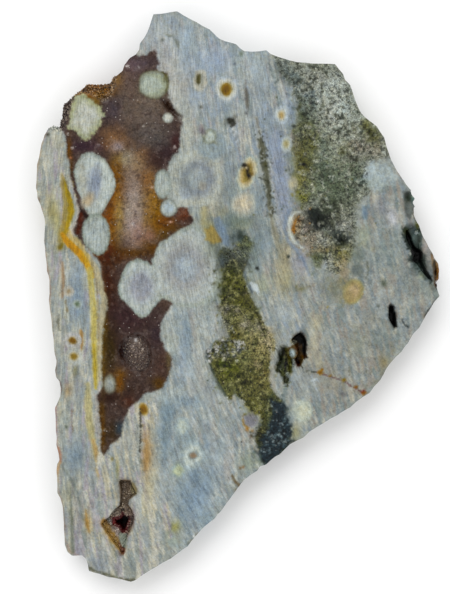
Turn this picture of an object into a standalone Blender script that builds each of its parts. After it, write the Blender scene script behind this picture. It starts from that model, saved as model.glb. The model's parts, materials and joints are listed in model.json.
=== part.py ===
"""Ocean jasper slab: one sawn slice of rock that lies flat on its lower sawn face.

The upper and lower faces are saw cuts, and the rim all round is natural rind and broken rock.
Two hollows of the upper face are lined with small quartz crystals, each lining one crust.

Metres, +Z up. The origin is the middle of the slab's outline, on the surface that it lies on.
+Y runs along the slab's length and +X across it. Run with: blender --background --python part.py
"""

import math
import random

import bmesh
import bpy
from mathutils import Vector, noise

MM = 0.001

# Driving dimensions, in millimetres
THICKNESS = 6.0  # between the two saw cuts
RIM_STEP = 1.7  # longest straight stretch of rim between two corners
RIM_CHIPPING = 0.12  # how far the rim strays from the straight between its drawn points
WALL_LEVELS = 8  # rows of faces between the saw cuts
CRUST_GAP = 0.3  # between a crystal crust and the rock round it
CRYSTAL_ACROSS = 0.75  # mean width of one crystal's base
LINED_NARROWING = 0.1  # how much a lined hollow narrows, for each millimetre of depth
CUTTER_RISE = 0.8  # how far a cutter stands above the face that it cuts

# The upper saw cut's outline, clockwise from the peak's left corner, in millimetres
RIM = [
    (-17, 56.5), (-12.2, 57.1), (-5.8, 53.5), (-3.8, 51.6), (-0.4, 50.5), (1.2, 49.1), (2.8, 49),
    (5.6, 49.3), (6.4, 48.6), (8.2, 47.9), (11.8, 46.9), (19.4, 46.5), (21, 44.5), (21.4, 43.3),
    (22.4, 42.3), (24.2, 37.5), (25.2, 36.1), (27.8, 34), (29.2, 31.9), (30.6, 27.3), (32.6, 23.9),
    (34.4, 21.5), (36.3, 19.8), (35.5, 17.3), (36.4, 13.7), (38.2, 9.7), (40.3, 6.7), (40.5, 5.3),
    (40.4, 3.5), (39.7, 1.9), (40.3, 0.1), (39.2, -1.1), (36.2, -6.3), (35, -7.5), (34, -9.3),
    (32.6, -11.1), (30.4, -13.4), (28.6, -16.5), (26.3, -19.3), (23.6, -21.1), (22.4, -22.2),
    (14.2, -27.1), (13, -28.3), (10.3, -29.6), (8.4, -31.5), (6.8, -32.5), (5.6, -33.6), (4.4, -34),
    (3.8, -34.9), (1.2, -36.7), (-3.4, -42.9), (-4.8, -44.5), (-7.6, -46.9), (-10, -49.9),
    (-13.6, -52.5), (-19.4, -55.9), (-20.4, -56.7), (-21.4, -57.1), (-26.2, -56.1), (-29.9, -54.9),
    (-30.5, -52.5), (-31.2, -51.8), (-33.2, -51.9), (-34.2, -51.1), (-34.7, -49.7), (-35.2, -41.7),
    (-35.6, -40.3), (-36.2, -39.3), (-36.4, -34.7), (-36.3, -33.5), (-35.8, -32.7), (-36.4, -29.7),
    (-36.7, -22.3), (-35.6, -19.9), (-35.5, -18.5), (-35.8, -16.9), (-36.4, -16.3), (-36.7, -14.7),
    (-36.4, -12.9), (-36.8, -11.3), (-37.9, -0.7), (-37.8, 3.3), (-38.3, 5.1), (-38.9, 11.1),
    (-38.7, 14.9), (-39.1, 16.7), (-40.2, 19.7), (-40.5, 21.7), (-40.3, 26.3), (-39.4, 30.5),
    (-38.8, 32.3), (-38, 33.6), (-37, 34.1), (-35.8, 33.9), (-34.9, 38.5), (-30.2, 42.6),
    (-26.6, 42.6), (-25.5, 42.9), (-25, 43.8), (-23.2, 45.1), (-22.8, 46.4), (-21.8, 47.7),
    (-20.6, 48.4), (-19.9, 49.3), (-19.7, 50.6), (-18.2, 52.9),
]

# How the rim breaks, by compass bearing from the middle (0 is +X, 90 is +Y): how far the foot of
# the wall is set in from its top, and how deep its lumps are, both in millimetres
RIM_BREAKS = [
    (-180, 0.9, 0.35),  # rind down the left side
    (-128, 0.7, 0.30),
    (-112, 0.3, 0.25),  # long clean break, lower right
    (-20, 0.4, 0.30),
    (2, 0.3, 0.15),
    (12, 0.3, 0.15),
    (16, 0.9, 0.60),  # hackly green stretch, right
    (28, 0.8, 0.55),
    (34, 0.4, 0.30),  # upper right
    (90, 0.6, 0.35),
    (112, 0.6, 0.35),
    (118, 1.0, 0.75),  # granular brown crystal edge, upper left
    (136, 1.0, 0.75),
    (142, 0.9, 0.35),
    (180, 0.9, 0.35),
]

KEYHOLE = [
    (-23.9, -36.7), (-21.5, -36.8), (-21.1, -37.9), (-20.3, -39.4), (-21.1, -40), (-21.8, -40.6),
    (-21.9, -41.7), (-21.3, -42.5), (-20.8, -43.9), (-20.9, -45.1), (-21.5, -46.5), (-22.1, -47.9),
    (-22.5, -49.7), (-22.8, -51.4), (-23.4, -51.5), (-23.9, -50.5), (-24.9, -49.3), (-25.9, -47.9),
    (-26.9, -46.5), (-27.4, -45.5), (-26.9, -44.7), (-26.1, -44.3), (-25.3, -43.1), (-24.5, -42.3),
    (-23.7, -41.7), (-23.6, -40.3), (-23.5, -38.7),
]
KEYHOLE_DEPTH = 4.4
KEYHOLE_EYE = [
    (-25.2, -44.1), (-24.3, -44.5), (-23.5, -44.1), (-23.3, -43.5), (-22.8, -43.4), (-22.7, -43.9),
    (-21.9, -44.2), (-21.6, -44.5), (-21.9, -45.5), (-22.2, -46.5), (-22.4, -47.1), (-23.3, -47.3),
    (-23.7, -46.7), (-24.1, -46.1), (-24.8, -45.8), (-25, -45.1),
]
BROWN_POCKET = [
    (-23.1, -9.3), (-22.3, -8.5), (-21.3, -7.9), (-19.9, -7.7), (-18.5, -8.9), (-17.7, -10.7),
    (-17.5, -12.7), (-18.3, -14.7), (-19.9, -15.3), (-21.5, -13.9), (-22.7, -13.1), (-23.5, -11.3),
]
BROWN_POCKET_DEPTH = 1.7

# Hollows with bare walls: outline and depth, in millimetres
BARE_HOLLOWS = {
    "black_crescent": (
        [
            (10.6, -8.5), (11.2, -7.9), (11.8, -7.5), (12.4, -7.2), (13.2, -7.9), (13.6, -8.9),
            (13.7, -10.1), (13.6, -11.1), (13.8, -12.1), (13, -12.5), (12.7, -13.3), (12.4, -14),
            (11.8, -13.9), (11.5, -13.1), (11.2, -12.5), (11.6, -12.1), (11.9, -11.3),
            (11.6, -10.3), (11, -9.5), (10.6, -9.1),
        ],
        2.6,
    ),
    "green_pocket": (
        [
            (8.6, -10.1), (9.3, -10.1), (10.2, -10.7), (10.4, -11.7), (10.8, -12.5), (11, -13.7),
            (10.8, -15.1), (10.2, -15.5), (10.1, -16.7), (9.8, -17.9), (9.2, -17.3), (9, -16.1),
            (8.3, -15.5), (7.6, -14.9), (7.6, -13.9), (8.2, -12.5), (8.3, -11.1),
        ],
        1.9,
    ),
    "black_slot": (
        [
            (30.2, -1.8), (30.9, -1.9), (31.4, -3.3), (31.6, -4.9), (31.8, -6.1), (31.2, -6.3),
            (30.6, -5.3), (30, -4.3), (30.1, -2.9),
        ],
        2.2,
    ),
    "orb_gap": (
        [
            (-15.5, 39.7), (-14.5, 39.5), (-13.7, 38.7), (-12.9, 37.5), (-11.9, 36.5), (-10.9, 35.8),
            (-11.5, 35.4), (-12.5, 35.9), (-13.7, 36.7), (-14.5, 37.5), (-15.1, 38.5),
        ],
        1.3,
    ),
    "pale_triangle_pit": (
        [(-2.3, 35.7), (-1.5, 35.6), (-0.7, 35.1), (-0.9, 33.9), (-1.5, 34.5), (-2.1, 35.1)],
        1.0,
    ),
    "moss_pit_upper": (
        [(15.6, 16.1), (16.8, 16.7), (17.8, 15.7), (18, 14.1), (17, 13.3), (15.8, 13.7)],
        0.9,
    ),
    "moss_pit_lower": (
        [(19.6, 12.1), (21, 11.7), (21.8, 10.5), (21, 9.5), (20, 10.7)],
        0.9,
    ),
    "brown_notch": (
        [(33.4, 20.9), (34.1, 21.3), (34.5, 20.1), (34.6, 18.5), (33.7, 18.3), (33.3, 19.5)],
        0.8,
    ),
    "edge_groove": (
        [
            (33.4, 13.5), (34, 13.3), (34.8, 12.1), (35.4, 10.3), (36.2, 9.5), (37, 8.9),
            (36.9, 6.9), (37.6, 5.5), (38.6, 3.7), (38.3, 3.1), (37.4, 4.1), (36.5, 5.3),
            (35.7, 6.5), (34.8, 7.3), (35.3, 8.7), (34.1, 10.3), (33.5, 11.7),
        ],
        2.5,
    ),
}

# Chips out of the upper edge on the right, open to the rim: outline, with the depth at each corner
EDGE_CHIPS = {
    "notch_facet": [
        (34.5, 21.1, 0.15), (34.9, 21.6, 0.3), (37.5, 21.5, 1.6), (37.5, 18, 2), (35.4, 17.8, 1.5),
        (34.9, 18.7, 0.5), (34.6, 19.8, 0.2),
    ],
    "notch_wall": [
        (35.1, 17.9, 0.2), (37.5, 18.2, 1.8), (38, 14.2, 2.2), (36.3, 14.1, 0.9), (35.4, 15.2, 0.3),
        (35.1, 16.4, 0.2),
    ],
    "groove_shelf": [
        (33.9, 13.5, 0.3), (35.2, 14, 0.6), (36.1, 13.7, 1.1), (36.4, 12.1, 0.9), (36.2, 10.7, 0.6),
        (36.2, 9.4, 0.7), (35.4, 10, 0.9), (34.7, 11.7, 0.8),
    ],
    "glassy_sliver": [
        (38.9, 8.9, 0.5), (39.1, 6.9, 0.9), (39.2, 4.9, 1.2), (39.6, 2.7, 1.3), (39.9, 1.9, 0.9),
        (41.5, 1.8, 1.4), (42, 4.3, 0.9), (41.7, 6.9, 0.7), (40.3, 9.6, 0.5),
    ],
}


def material(name, colour, roughness):
    """A plain dielectric stone finish."""
    made = bpy.data.materials.new(name)
    made.use_nodes = True
    shader = made.node_tree.nodes["Principled BSDF"]
    shader.inputs["Base Color"].default_value = (*colour, 1)
    shader.inputs["Roughness"].default_value = roughness
    made.diffuse_color = (*colour, 1)
    return made


def inward(points):
    """The unit normal at each point of a closed clockwise outline, towards its inside."""
    normals = []
    for here in range(len(points)):
        before = Vector(points[here - 1])
        after = Vector(points[(here + 1) % len(points)])
        along = (after - before).normalized()
        normals.append(Vector((along.y, -along.x)))
    return normals


def inset(points, amounts):
    """A closed clockwise outline, moved in by an amount, or by one amount for each point."""
    if not hasattr(amounts, "__len__"):
        amounts = [amounts] * len(points)
    return [
        (x + normal.x * amount, y + normal.y * amount)
        for (x, y), normal, amount in zip(points, inward(points), amounts)
    ]


def object_of(name, mesh_data, finish, collection):
    """An object in a collection, from a bmesh in millimetres."""
    bmesh.ops.recalc_face_normals(mesh_data, faces=mesh_data.faces)
    bmesh.ops.scale(mesh_data, vec=(MM, MM, MM), verts=mesh_data.verts)
    mesh = bpy.data.meshes.new(name)
    mesh_data.to_mesh(mesh)
    mesh_data.free()
    made = bpy.data.objects.new(name, mesh)
    collection.objects.link(made)
    if finish:
        mesh.materials.append(finish)
    else:
        made.display_type = "WIRE"
        made.hide_render = True
    return made


def loft(name, rings, finish, collection):
    """A closed solid through rings of (x, y, z) points, each ring with as many points as the last."""
    solid = bmesh.new()
    rows = [[solid.verts.new(point) for point in ring] for ring in rings]
    for low, high in zip(rows, rows[1:]):
        for here in range(len(low)):
            after = (here + 1) % len(low)
            solid.faces.new((low[here], low[after], high[after], high[here]))
    solid.faces.new(rows[0])
    solid.faces.new(rows[-1])
    return object_of(name, solid, finish, collection)


def rim_break(x, y):
    """How far the wall's foot is set in at a point of the rim, and how deep its lumps are."""
    bearing = math.degrees(math.atan2(y, x))
    for (low, lean_low, rough_low), (high, lean_high, rough_high) in zip(RIM_BREAKS, RIM_BREAKS[1:]):
        if low <= bearing <= high:
            share = (bearing - low) / (high - low)
            lean = lean_low + (lean_high - lean_low) * share
            return lean, rough_low + (rough_high - rough_low) * share


def chipped_rim():
    """The upper outline, with points added on its long stretches and each of those chipped in a little."""
    points = []
    for here, start in enumerate(RIM):
        end = RIM[(here + 1) % len(RIM)]
        pieces = math.ceil(math.dist(start, end) / RIM_STEP)
        points.append(start)
        along = (Vector(end) - Vector(start)).normalized()
        for piece in range(1, pieces):
            x, y = Vector(start).lerp(Vector(end), piece / pieces)
            chip = RIM_CHIPPING * (0.5 + noise.noise((x, y, 0)))
            points.append((x + along.y * chip, y - along.x * chip))
    return points


def wall_ring(rim, level):
    """The slab's outline at one level of its wall, 0 at the lower saw cut, broken in lumps and facets."""
    height = THICKNESS * level / WALL_LEVELS
    down = 1 - level / WALL_LEVELS
    amounts = []
    for x, y in rim:
        lean, rough = rim_break(x, y)
        lump = noise.fractal((x * 0.22, y * 0.22, height * 0.3), 1, 2, 3)
        facet = abs(noise.noise((x * 0.42, y * 0.42, height * 0.6 + 7)))
        swell = min(1, 3 * down)
        amounts.append(max(0, lean * down**1.5 + rough * swell * (0.6 + 1.3 * lump + 2.6 * facet)))
    return [(x, y, height) for x, y in inset(rim, amounts)]


def slab(collection, finish):
    """The slice of rock, before its hollows are cut."""
    rim = chipped_rim()
    rings = [wall_ring(rim, level) for level in range(WALL_LEVELS + 1)]
    return loft("slab", rings, finish, collection)


def hollow_rings(outline, depth, narrowing, clear=0):
    """Outlines down an uneven wall that narrows towards the floor, all of them kept clear of it."""
    rings = []
    for share in (0, 0.35, 0.75, 1):
        sunk = depth * share
        amounts = [
            clear + sunk * narrowing * (0.6 + 0.5 * noise.noise((x * 1.3, y * 1.3, sunk)))
            for x, y in outline
        ]
        rings.append([(x, y, THICKNESS - sunk + clear * share) for x, y in inset(outline, amounts)])
    return rings


def hollow(name, outline, depth, collection, narrowing=0.28):
    """The cutter of a hollow in the upper face."""
    above = [(x, y, THICKNESS + CUTTER_RISE) for x, y in outline]
    return loft(name, [above] + hollow_rings(outline, depth, narrowing), None, collection)


def edge_chip(name, corners, collection):
    """The cutter of a chip out of the upper edge, its bed running through corners at their own depths."""
    chip = bmesh.new()
    above = [chip.verts.new((x, y, THICKNESS + CUTTER_RISE)) for x, y, _ in corners]
    lid = chip.faces.new(above)
    sides = bmesh.ops.extrude_face_region(chip, geom=[lid], use_keep_orig=True)["geom"]
    bed = [part for part in sides if isinstance(part, bmesh.types.BMFace)]
    for low, (x, y, depth) in zip(bed[0].verts, corners):
        low.co = (x, y, THICKNESS - depth)
    bmesh.ops.triangulate(chip, faces=bed)
    return object_of(name, chip, None, collection)


def crystal_bed(name, outline, base, top, tips, seed, finish, collection):
    """A block of pointed crystals over an outline, from a level base up to tips above its bed."""
    dice = random.Random(seed)
    low_x, high_x = min(x for x, _ in outline), max(x for x, _ in outline)
    low_y, high_y = min(y for _, y in outline), max(y for _, y in outline)
    across = math.ceil((high_x - low_x) / CRYSTAL_ACROSS) + 1
    along = math.ceil((high_y - low_y) / CRYSTAL_ACROSS) + 1
    bed = bmesh.new()
    bmesh.ops.create_grid(bed, x_segments=across, y_segments=along, size=0.5)
    middle = Vector(((low_x + high_x) / 2, (low_y + high_y) / 2, top))
    bmesh.ops.scale(bed, vec=(across * CRYSTAL_ACROSS, along * CRYSTAL_ACROSS, 1), verts=bed.verts)
    bmesh.ops.translate(bed, vec=middle, verts=bed.verts)
    for vert in bed.verts:
        if not vert.is_boundary:
            vert.co.x += dice.uniform(-0.25, 0.25) * CRYSTAL_ACROSS
            vert.co.y += dice.uniform(-0.25, 0.25) * CRYSTAL_ACROSS
            vert.co.z += dice.uniform(-0.3, 0.1) * tips
    faces = list(bed.faces)
    skirt = bmesh.ops.extrude_face_region(bed, geom=faces, use_keep_orig=True)
    for part in skirt["geom"]:
        if isinstance(part, bmesh.types.BMVert):
            part.co.z = base
    poked = bmesh.ops.poke(bed, faces=faces)
    for tip in poked["verts"]:
        tip.co += Vector((dice.uniform(-0.2, 0.2), dice.uniform(-0.2, 0.2), 0)) * CRYSTAL_ACROSS
        tip.co.z += tips * dice.uniform(0.4, 1)
    return object_of(name, bed, finish, collection)


def cut(solid, cutter, operation="DIFFERENCE"):
    """Adds one Boolean to a solid."""
    step = solid.modifiers.new(cutter.name, "BOOLEAN")
    step.operation = operation
    step.object = cutter
    step.solver = "EXACT"


def crust(name, outline, depth, seed, finish, parts, cutters, reach, tips):
    """One hollow's crust of crystals, clear of the hollow's wall and floor by the gap."""
    made = crystal_bed(name, outline, THICKNESS - depth - 1, THICKNESS - reach, tips, seed, finish, parts)
    room = hollow_rings(outline, depth, LINED_NARROWING, CRUST_GAP)
    cut(made, loft(name + "_room", room, None, cutters), "INTERSECT")
    return made


def main():
    for old in list(bpy.data.objects):
        bpy.data.objects.remove(old)
    parts = bpy.data.collections.new("ocean_jasper_slab")
    cutters = bpy.data.collections.new("cutters")
    for collection in (parts, cutters):
        bpy.context.scene.collection.children.link(collection)

    jasper = material("jasper", (0.46, 0.49, 0.47), 0.5)
    quartz = material("brown_quartz", (0.16, 0.10, 0.07), 0.25)

    rock = slab(parts, jasper)
    cut(rock, hollow("keyhole", KEYHOLE, KEYHOLE_DEPTH, cutters, LINED_NARROWING))
    cut(rock, hollow("brown_pocket", BROWN_POCKET, BROWN_POCKET_DEPTH, cutters, LINED_NARROWING))
    for name, (outline, depth) in BARE_HOLLOWS.items():
        cut(rock, hollow(name, outline, depth, cutters))
    for name, corners in EDGE_CHIPS.items():
        cut(rock, edge_chip(name, corners, cutters))

    lining = crust("keyhole_crystals", KEYHOLE, KEYHOLE_DEPTH, 5, quartz, parts, cutters, 0.9, 0.5)
    eye = [[(x, y, height) for x, y in KEYHOLE_EYE] for height in (0, THICKNESS + CUTTER_RISE)]
    cut(lining, loft("keyhole_eye", eye, None, cutters))
    crust("pocket_crystals", BROWN_POCKET, BROWN_POCKET_DEPTH, 8, quartz, parts, cutters, 0.75, 0.5)


main()
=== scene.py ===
import json
import math

import bmesh
import bpy
import numpy as np
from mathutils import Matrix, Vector
from mathutils.kdtree import KDTree
from mathutils.bvhtree import BVHTree
from mathutils.geometry import delaunay_2d_cdt


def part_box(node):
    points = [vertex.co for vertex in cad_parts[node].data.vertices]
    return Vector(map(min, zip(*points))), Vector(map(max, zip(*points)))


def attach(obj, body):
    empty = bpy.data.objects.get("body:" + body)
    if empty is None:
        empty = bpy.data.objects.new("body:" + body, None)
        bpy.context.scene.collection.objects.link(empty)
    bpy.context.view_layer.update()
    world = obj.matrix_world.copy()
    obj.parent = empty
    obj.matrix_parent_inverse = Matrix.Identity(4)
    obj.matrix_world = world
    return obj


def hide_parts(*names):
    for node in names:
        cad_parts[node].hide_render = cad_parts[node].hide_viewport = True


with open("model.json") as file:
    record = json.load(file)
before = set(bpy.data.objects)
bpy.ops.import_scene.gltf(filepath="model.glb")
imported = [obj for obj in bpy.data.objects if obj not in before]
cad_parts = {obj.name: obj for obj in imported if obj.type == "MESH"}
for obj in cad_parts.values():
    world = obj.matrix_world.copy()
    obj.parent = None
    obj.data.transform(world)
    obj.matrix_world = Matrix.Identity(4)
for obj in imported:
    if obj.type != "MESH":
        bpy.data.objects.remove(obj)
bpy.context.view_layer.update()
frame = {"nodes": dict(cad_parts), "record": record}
record = frame["record"]
slabNode = frame["nodes"]["slab"]
lowCorner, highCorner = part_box("slab")
mm = 0.001
thickness = (highCorner.z - lowCorner.z) / mm

# This script works in millimetres, seen from above: x to the right, y up the slab's length.
# It is divided by 1000 only where a mesh, a light or the camera is made.
print("frame loaded: slab", [round(side / mm, 1) for side in highCorner - lowCorner], "mm")


# Noise on plain arrays

def lattice(u, v, seed):
    spin = (u.astype(np.int64) * 374761393 + v.astype(np.int64) * 668265263 + seed * 974634777) & 0xffffffff
    spin = ((spin ^ (spin >> 13)) * 1274126177) & 0xffffffff
    return (spin ^ (spin >> 16)) / 4294967295


def ripple(u, v, seed):
    lowU, lowV = np.floor(u), np.floor(v)
    shareU, shareV = u - lowU, v - lowV
    shareU, shareV = shareU**2 * (3 - 2 * shareU), shareV**2 * (3 - 2 * shareV)
    under = lattice(lowU, lowV, seed) * (1 - shareU) + lattice(lowU + 1, lowV, seed) * shareU
    over = lattice(lowU, lowV + 1, seed) * (1 - shareU) + lattice(lowU + 1, lowV + 1, seed) * shareU
    return 2 * (under * (1 - shareV) + over * shareV) - 1


def cloud(x, y, size, seed, octaves=3):
    total, weight, share = 0.0, 0.0, 1.0
    for octave in range(octaves):
        c, s = math.cos(0.6 * octave + seed), math.sin(0.6 * octave + seed)
        total = total + share * ripple((c * x - s * y) / size, (s * x + c * y) / size, seed + 17 * octave)
        weight += share
        share *= 0.55
        size *= 0.5
    return 1.6 * total / weight


def streaks(x, y, across, along, seed, octaves=2):
    # clouds drawn out along the saw's lines, which lean further over to the right
    u = x + 0.28 * y + 0.009 * x * y - 0.0015 * y * y
    total, weight, share = 0.0, 0.0, 1.0
    for octave in range(octaves):
        total = total + share * ripple(u / across, y / along, seed + 31 * octave)
        weight += share
        share *= 0.6
        across *= 0.5
        along *= 0.6
    return 1.5 * total / weight


def smooth(low, high, value):
    share = np.clip((value - low) / (high - low), 0, 1)
    return share * share * (3 - 2 * share)


# Distances to drawn lines

def toSegment(x, y, start, end):
    alongX, alongY = end[0] - start[0], end[1] - start[1]
    share = ((x - start[0]) * alongX + (y - start[1]) * alongY) / max(alongX**2 + alongY**2, 1e-9)
    share = np.clip(share, 0, 1)
    return np.hypot(x - start[0] - share * alongX, y - start[1] - share * alongY), share


def toOutline(x, y, points):
    # how far a place lies outside a closed outline, less than nothing inside it
    nearest = np.full(x.shape, 1e9)
    inside = np.zeros(x.shape, bool)
    for start, end in zip(points, points[1:] + points[:1]):
        nearest = np.minimum(nearest, toSegment(x, y, start, end)[0])
        if start[1] != end[1]:
            crossing = start[0] + (y - start[1]) / (end[1] - start[1]) * (end[0] - start[0])
            inside ^= ((start[1] > y) != (end[1] > y)) & (x < crossing)
    return np.where(inside, -nearest, nearest)


def toRoute(x, y, points):
    # how far a place lies outside a band; each point of its route is x, y and the band's width there
    nearest = np.full(x.shape, 1e9)
    for start, end in zip(points, points[1:]):
        away, share = toSegment(x, y, start, end)
        nearest = np.minimum(nearest, away - (start[2] + (end[2] - start[2]) * share) / 2)
    return nearest


def rgb(text):
    return np.array([int(text[at:at + 2], 16) / 255 for at in (0, 2, 4)])


class Painter:
    # colours the places x, y, in the photographed stone's greys and browns; some marks among them are painted shade and
    # painted glints

    def __init__(self, x, y):
        self.x, self.y = x, y
        self.colour = np.zeros((len(x), 3))
        self.grain = np.zeros(len(x))
        self.gloss = np.zeros(len(x))
        self.moss = np.zeros(len(x))
        self.ragged = (0.35, 1.6)      # how uneven soft spots are, and the size of their unevenness
        self.open = np.ones(len(x), bool)

    def near(self, points, margin):
        lowX, highX = min(p[0] for p in points) - margin, max(p[0] for p in points) + margin
        lowY, highY = min(p[1] for p in points) - margin, max(p[1] for p in points) + margin
        inside = (self.x > lowX) & (self.x < highX) & (self.y > lowY) & (self.y < highY)
        return np.nonzero(inside & self.open)[0]

    def lay(self, at, cover, colour):
        cover = np.clip(cover, 0, 1)[:, None]
        self.colour[at] = self.colour[at] * (1 - cover) + rgb(colour) * cover

    def turned(self, at, middle, turn):
        x, y = self.x[at] - middle[0], self.y[at] - middle[1]
        c, s = math.cos(math.radians(turn)), math.sin(math.radians(turn))
        return c * x + s * y, c * y - s * x

    def tint(self, x, y, wide, high, colour, strength=0.8, turn=0):
        at = self.near([(x, y)], 2.2 * max(wide, high))
        along, across = self.turned(at, (x, y), turn)
        amount, size = self.ragged
        ragged = 1 + amount * cloud(self.x[at], self.y[at], size, int(abs(35 * x + 5 * y)), 2)
        self.lay(at, strength * np.exp(-((along / wide) ** 2 + (across / high) ** 2) * ragged), colour)

    def patch(self, points, colour, soft=0.3, wobble=0.2, strength=1, lumps=0.8, seed=3):
        at = self.near(points, 2 * soft + 2 * wobble)
        x, y = self.x[at], self.y[at]
        away = toOutline(x, y, points) + wobble * cloud(x, y, lumps, seed, 3)
        cover = strength * smooth(soft, -soft, away)
        if colour:
            self.lay(at, cover, colour)
            self.grain[at] *= 1 - cover
        return at, cover

    def band(self, points, colour, soft=0.2, strength=1, wobble=0.12, seed=5):
        at = self.near(points, max(p[2] for p in points) + 2 * soft + 2 * wobble)
        x, y = self.x[at], self.y[at]
        away = toRoute(x, y, points) + wobble * cloud(x, y, 1, seed, 2)
        self.lay(at, strength * smooth(soft, -soft, away), colour)

    def orb(self, x, y, wide, high, turn, rings, soft=0.16, wobble=0.06, strength=1):
        # rings, from the middle out: the share of the orb's radius where each ends, and its colour
        at = self.near([(x, y)], 1.5 * max(wide, high))
        along, across = self.turned(at, (x, y), turn)
        size = min(wide, high)
        away = np.hypot(along / wide, across / high)
        away += wobble * cloud(self.x[at], self.y[at], max(0.5, size * 0.6), int(abs(15 * x + 25 * y)), 3)
        for share, colour in reversed(rings.items()):
            cover = strength * smooth(share + soft / size, share - soft / size, away)
            self.lay(at, cover, colour)
            self.grain[at] *= 1 - cover

    def speckle(self, points, colours, size, seed, strength=1, stretch=1, turn=0, soft=0.6):
        # grains over a patch, or streaks where they are stretched: each colour has its share of the patch
        at = self.near(points, soft + 1)
        x, y = self.x[at], self.y[at]
        away = toOutline(x, y, points) + 0.8 * cloud(x, y, 1.5, seed + 5, 2)
        cover = strength * smooth(soft * 0.5, -soft, away)
        along, across = self.turned(at, (0, 0), turn)
        across = across + 0.5 * cloud(x, y, 9, seed + 3, 1)
        for number, (colour, share) in enumerate(colours.items()):
            level = 0.75 - 1.5 * share
            grains = cloud(along / stretch, across, size, seed + 11 * number, 2)
            self.lay(at, cover * smooth(level - 0.2, level + 0.2, grains), colour)


# Outlines, in millimetres on the sawn face
blackSlot = [
    (30, -1.9), (30.6, -1.3), (31.2, -1.9), (31.5, -3.3), (31.8, -6.1), (31.2, -6.3), (30.4, -5.1),
    (30, -3.7),
]

brownPatch = [
    (-20.9, 48.7), (-19.7, 48), (-18.7, 48.3), (-16.7, 49.4), (-16.2, 48.9), (-16.2, 47.7), (-15.8, 46.6),
    (-16.2, 46.1), (-16.1, 45.1), (-14.1, 44.9), (-13.7, 43.7), (-14.1, 39.9), (-12.5, 37.3), (-10.9, 35.9),
    (-11.2, 34.9), (-11.7, 31.7), (-11.7, 29.9), (-12.1, 28.9), (-12.9, 28.1), (-13.7, 26.7), (-14.5, 24.1),
    (-14.1, 19.3), (-12.2, 17.5), (-11.7, 17.9), (-10.2, 17.8), (-8.8, 15.1), (-9.7, 14.3), (-13.7, 12.1),
    (-15.1, 11.1), (-16.1, 9.7), (-17.2, 7.3), (-16.7, 2.3), (-15.1, -0.1), (-14.1, -0.3), (-12.7, -1.4),
    (-13.7, -2.1), (-14.2, -3.1), (-15.1, -4.7), (-15.5, -6.1), (-15.5, -7.7), (-14.7, -10.7),
    (-13.7, -11.5), (-13.1, -12.7), (-13.5, -14.7), (-14.1, -16.3), (-15.1, -17.9), (-16.1, -18.7),
    (-18.7, -19.4), (-19.7, -20.7), (-21.9, -22.5), (-22.9, -25.1), (-23.5, -28.1), (-24.2, -28.9),
    (-25.2, -29.5), (-26.9, -32.1), (-27.7, -29.9), (-27.5, -27.9), (-28.2, -19.9), (-27.1, -17.7),
    (-27.1, -16.3), (-27.5, -14.3), (-27.1, -12.3), (-27.1, -7.7), (-26.1, -1.3), (-26.9, 1.3),
    (-27.7, 6.9), (-31.2, 10.7), (-33.1, 13.1), (-31.9, 16.3), (-31.9, 18.1), (-33.1, 21.7), (-34.2, 28.3),
    (-34.6, 31.7), (-35.2, 32.9), (-37.2, 35.3), (-37.2, 40.3), (-32.6, 43.7), (-27.7, 44.1), (-24.1, 47.3),
    (-22.5, 49.3),
]

starOrb = [
    (-32.5, 40.3), (-30.9, 40.5), (-27.7, 38.1), (-27.2, 37.1), (-26.5, 36.2), (-27.2, 35.7), (-27.2, 34.7),
    (-28.1, 33.9), (-28.5, 32.9), (-30.1, 31.2), (-30.9, 31.3), (-31.7, 31.7), (-32.2, 32.7), (-33.1, 33.3),
    (-34.5, 33.8), (-33.9, 34.9), (-33.5, 37.7),
]

teardrop = [
    (-30.2, 28.9), (-29.2, 28.9), (-26.9, 27.7), (-25.1, 24.9), (-24.6, 23.3), (-24.5, 21.9), (-25.1, 20.5),
    (-27.2, 16.7), (-28.2, 15.7), (-29.5, 15.9), (-30.7, 17.5), (-30.9, 18.7), (-32.2, 21.3), (-32.6, 23.3),
    (-32.9, 24.9), (-32.6, 26.3), (-31.2, 28.5),
]

roundOrb = [
    (-29.5, 16.3), (-28.5, 16.7), (-27.5, 16.4), (-26.5, 15.5), (-25.9, 14.1), (-25.6, 12.5), (-25.7, 10.9),
    (-26.2, 9.5), (-27.1, 8.5), (-28.1, 8.1), (-29.2, 8.7), (-30.2, 9.7), (-30.9, 10.7), (-31.2, 12.1),
    (-31.2, 13.5), (-30.9, 14.9),
]

facedOrb = [
    (-21.5, 7.1), (-20.1, 7.5), (-18.4, 7.1), (-17.1, 6.1), (-16.1, 4.9), (-15.2, 3.3), (-14.9, 1.3),
    (-15.2, -0.3), (-18.4, -4.1), (-19.5, -4.3), (-20.5, -3.5), (-22.5, -1.1), (-23.7, -0.3), (-24.1, 1.3),
    (-23.9, 2.9), (-22.5, 6.1),
]

bigOrb = [
    (-9.1, 14.5), (-7.7, 13.7), (-6.5, 12.5), (-5.5, 10.7), (-4, 6.9), (-3.9, 4.3), (-4.2, 1.7),
    (-5.2, -0.3), (-6.9, -1.5), (-9.2, -2.3), (-12.1, -1.9), (-14.1, -0.7), (-16.1, 0.1), (-16.9, 2.1),
    (-17.2, 4.3), (-17.2, 6.9), (-16.4, 9.1), (-15.5, 10.7), (-12.5, 12.7),
]

upperOrb = [
    (-10.5, 28.9), (-8.5, 29.1), (-6.2, 28.5), (-4.5, 27.1), (-3.2, 25.3), (-3.1, 23.3), (-3.5, 20.9),
    (-4.9, 19.3), (-6.5, 18.3), (-10.5, 17.9), (-12.1, 18.1), (-13.2, 19.3), (-13.9, 23.7), (-13.7, 26.1),
    (-12.5, 27.7),
]

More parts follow.
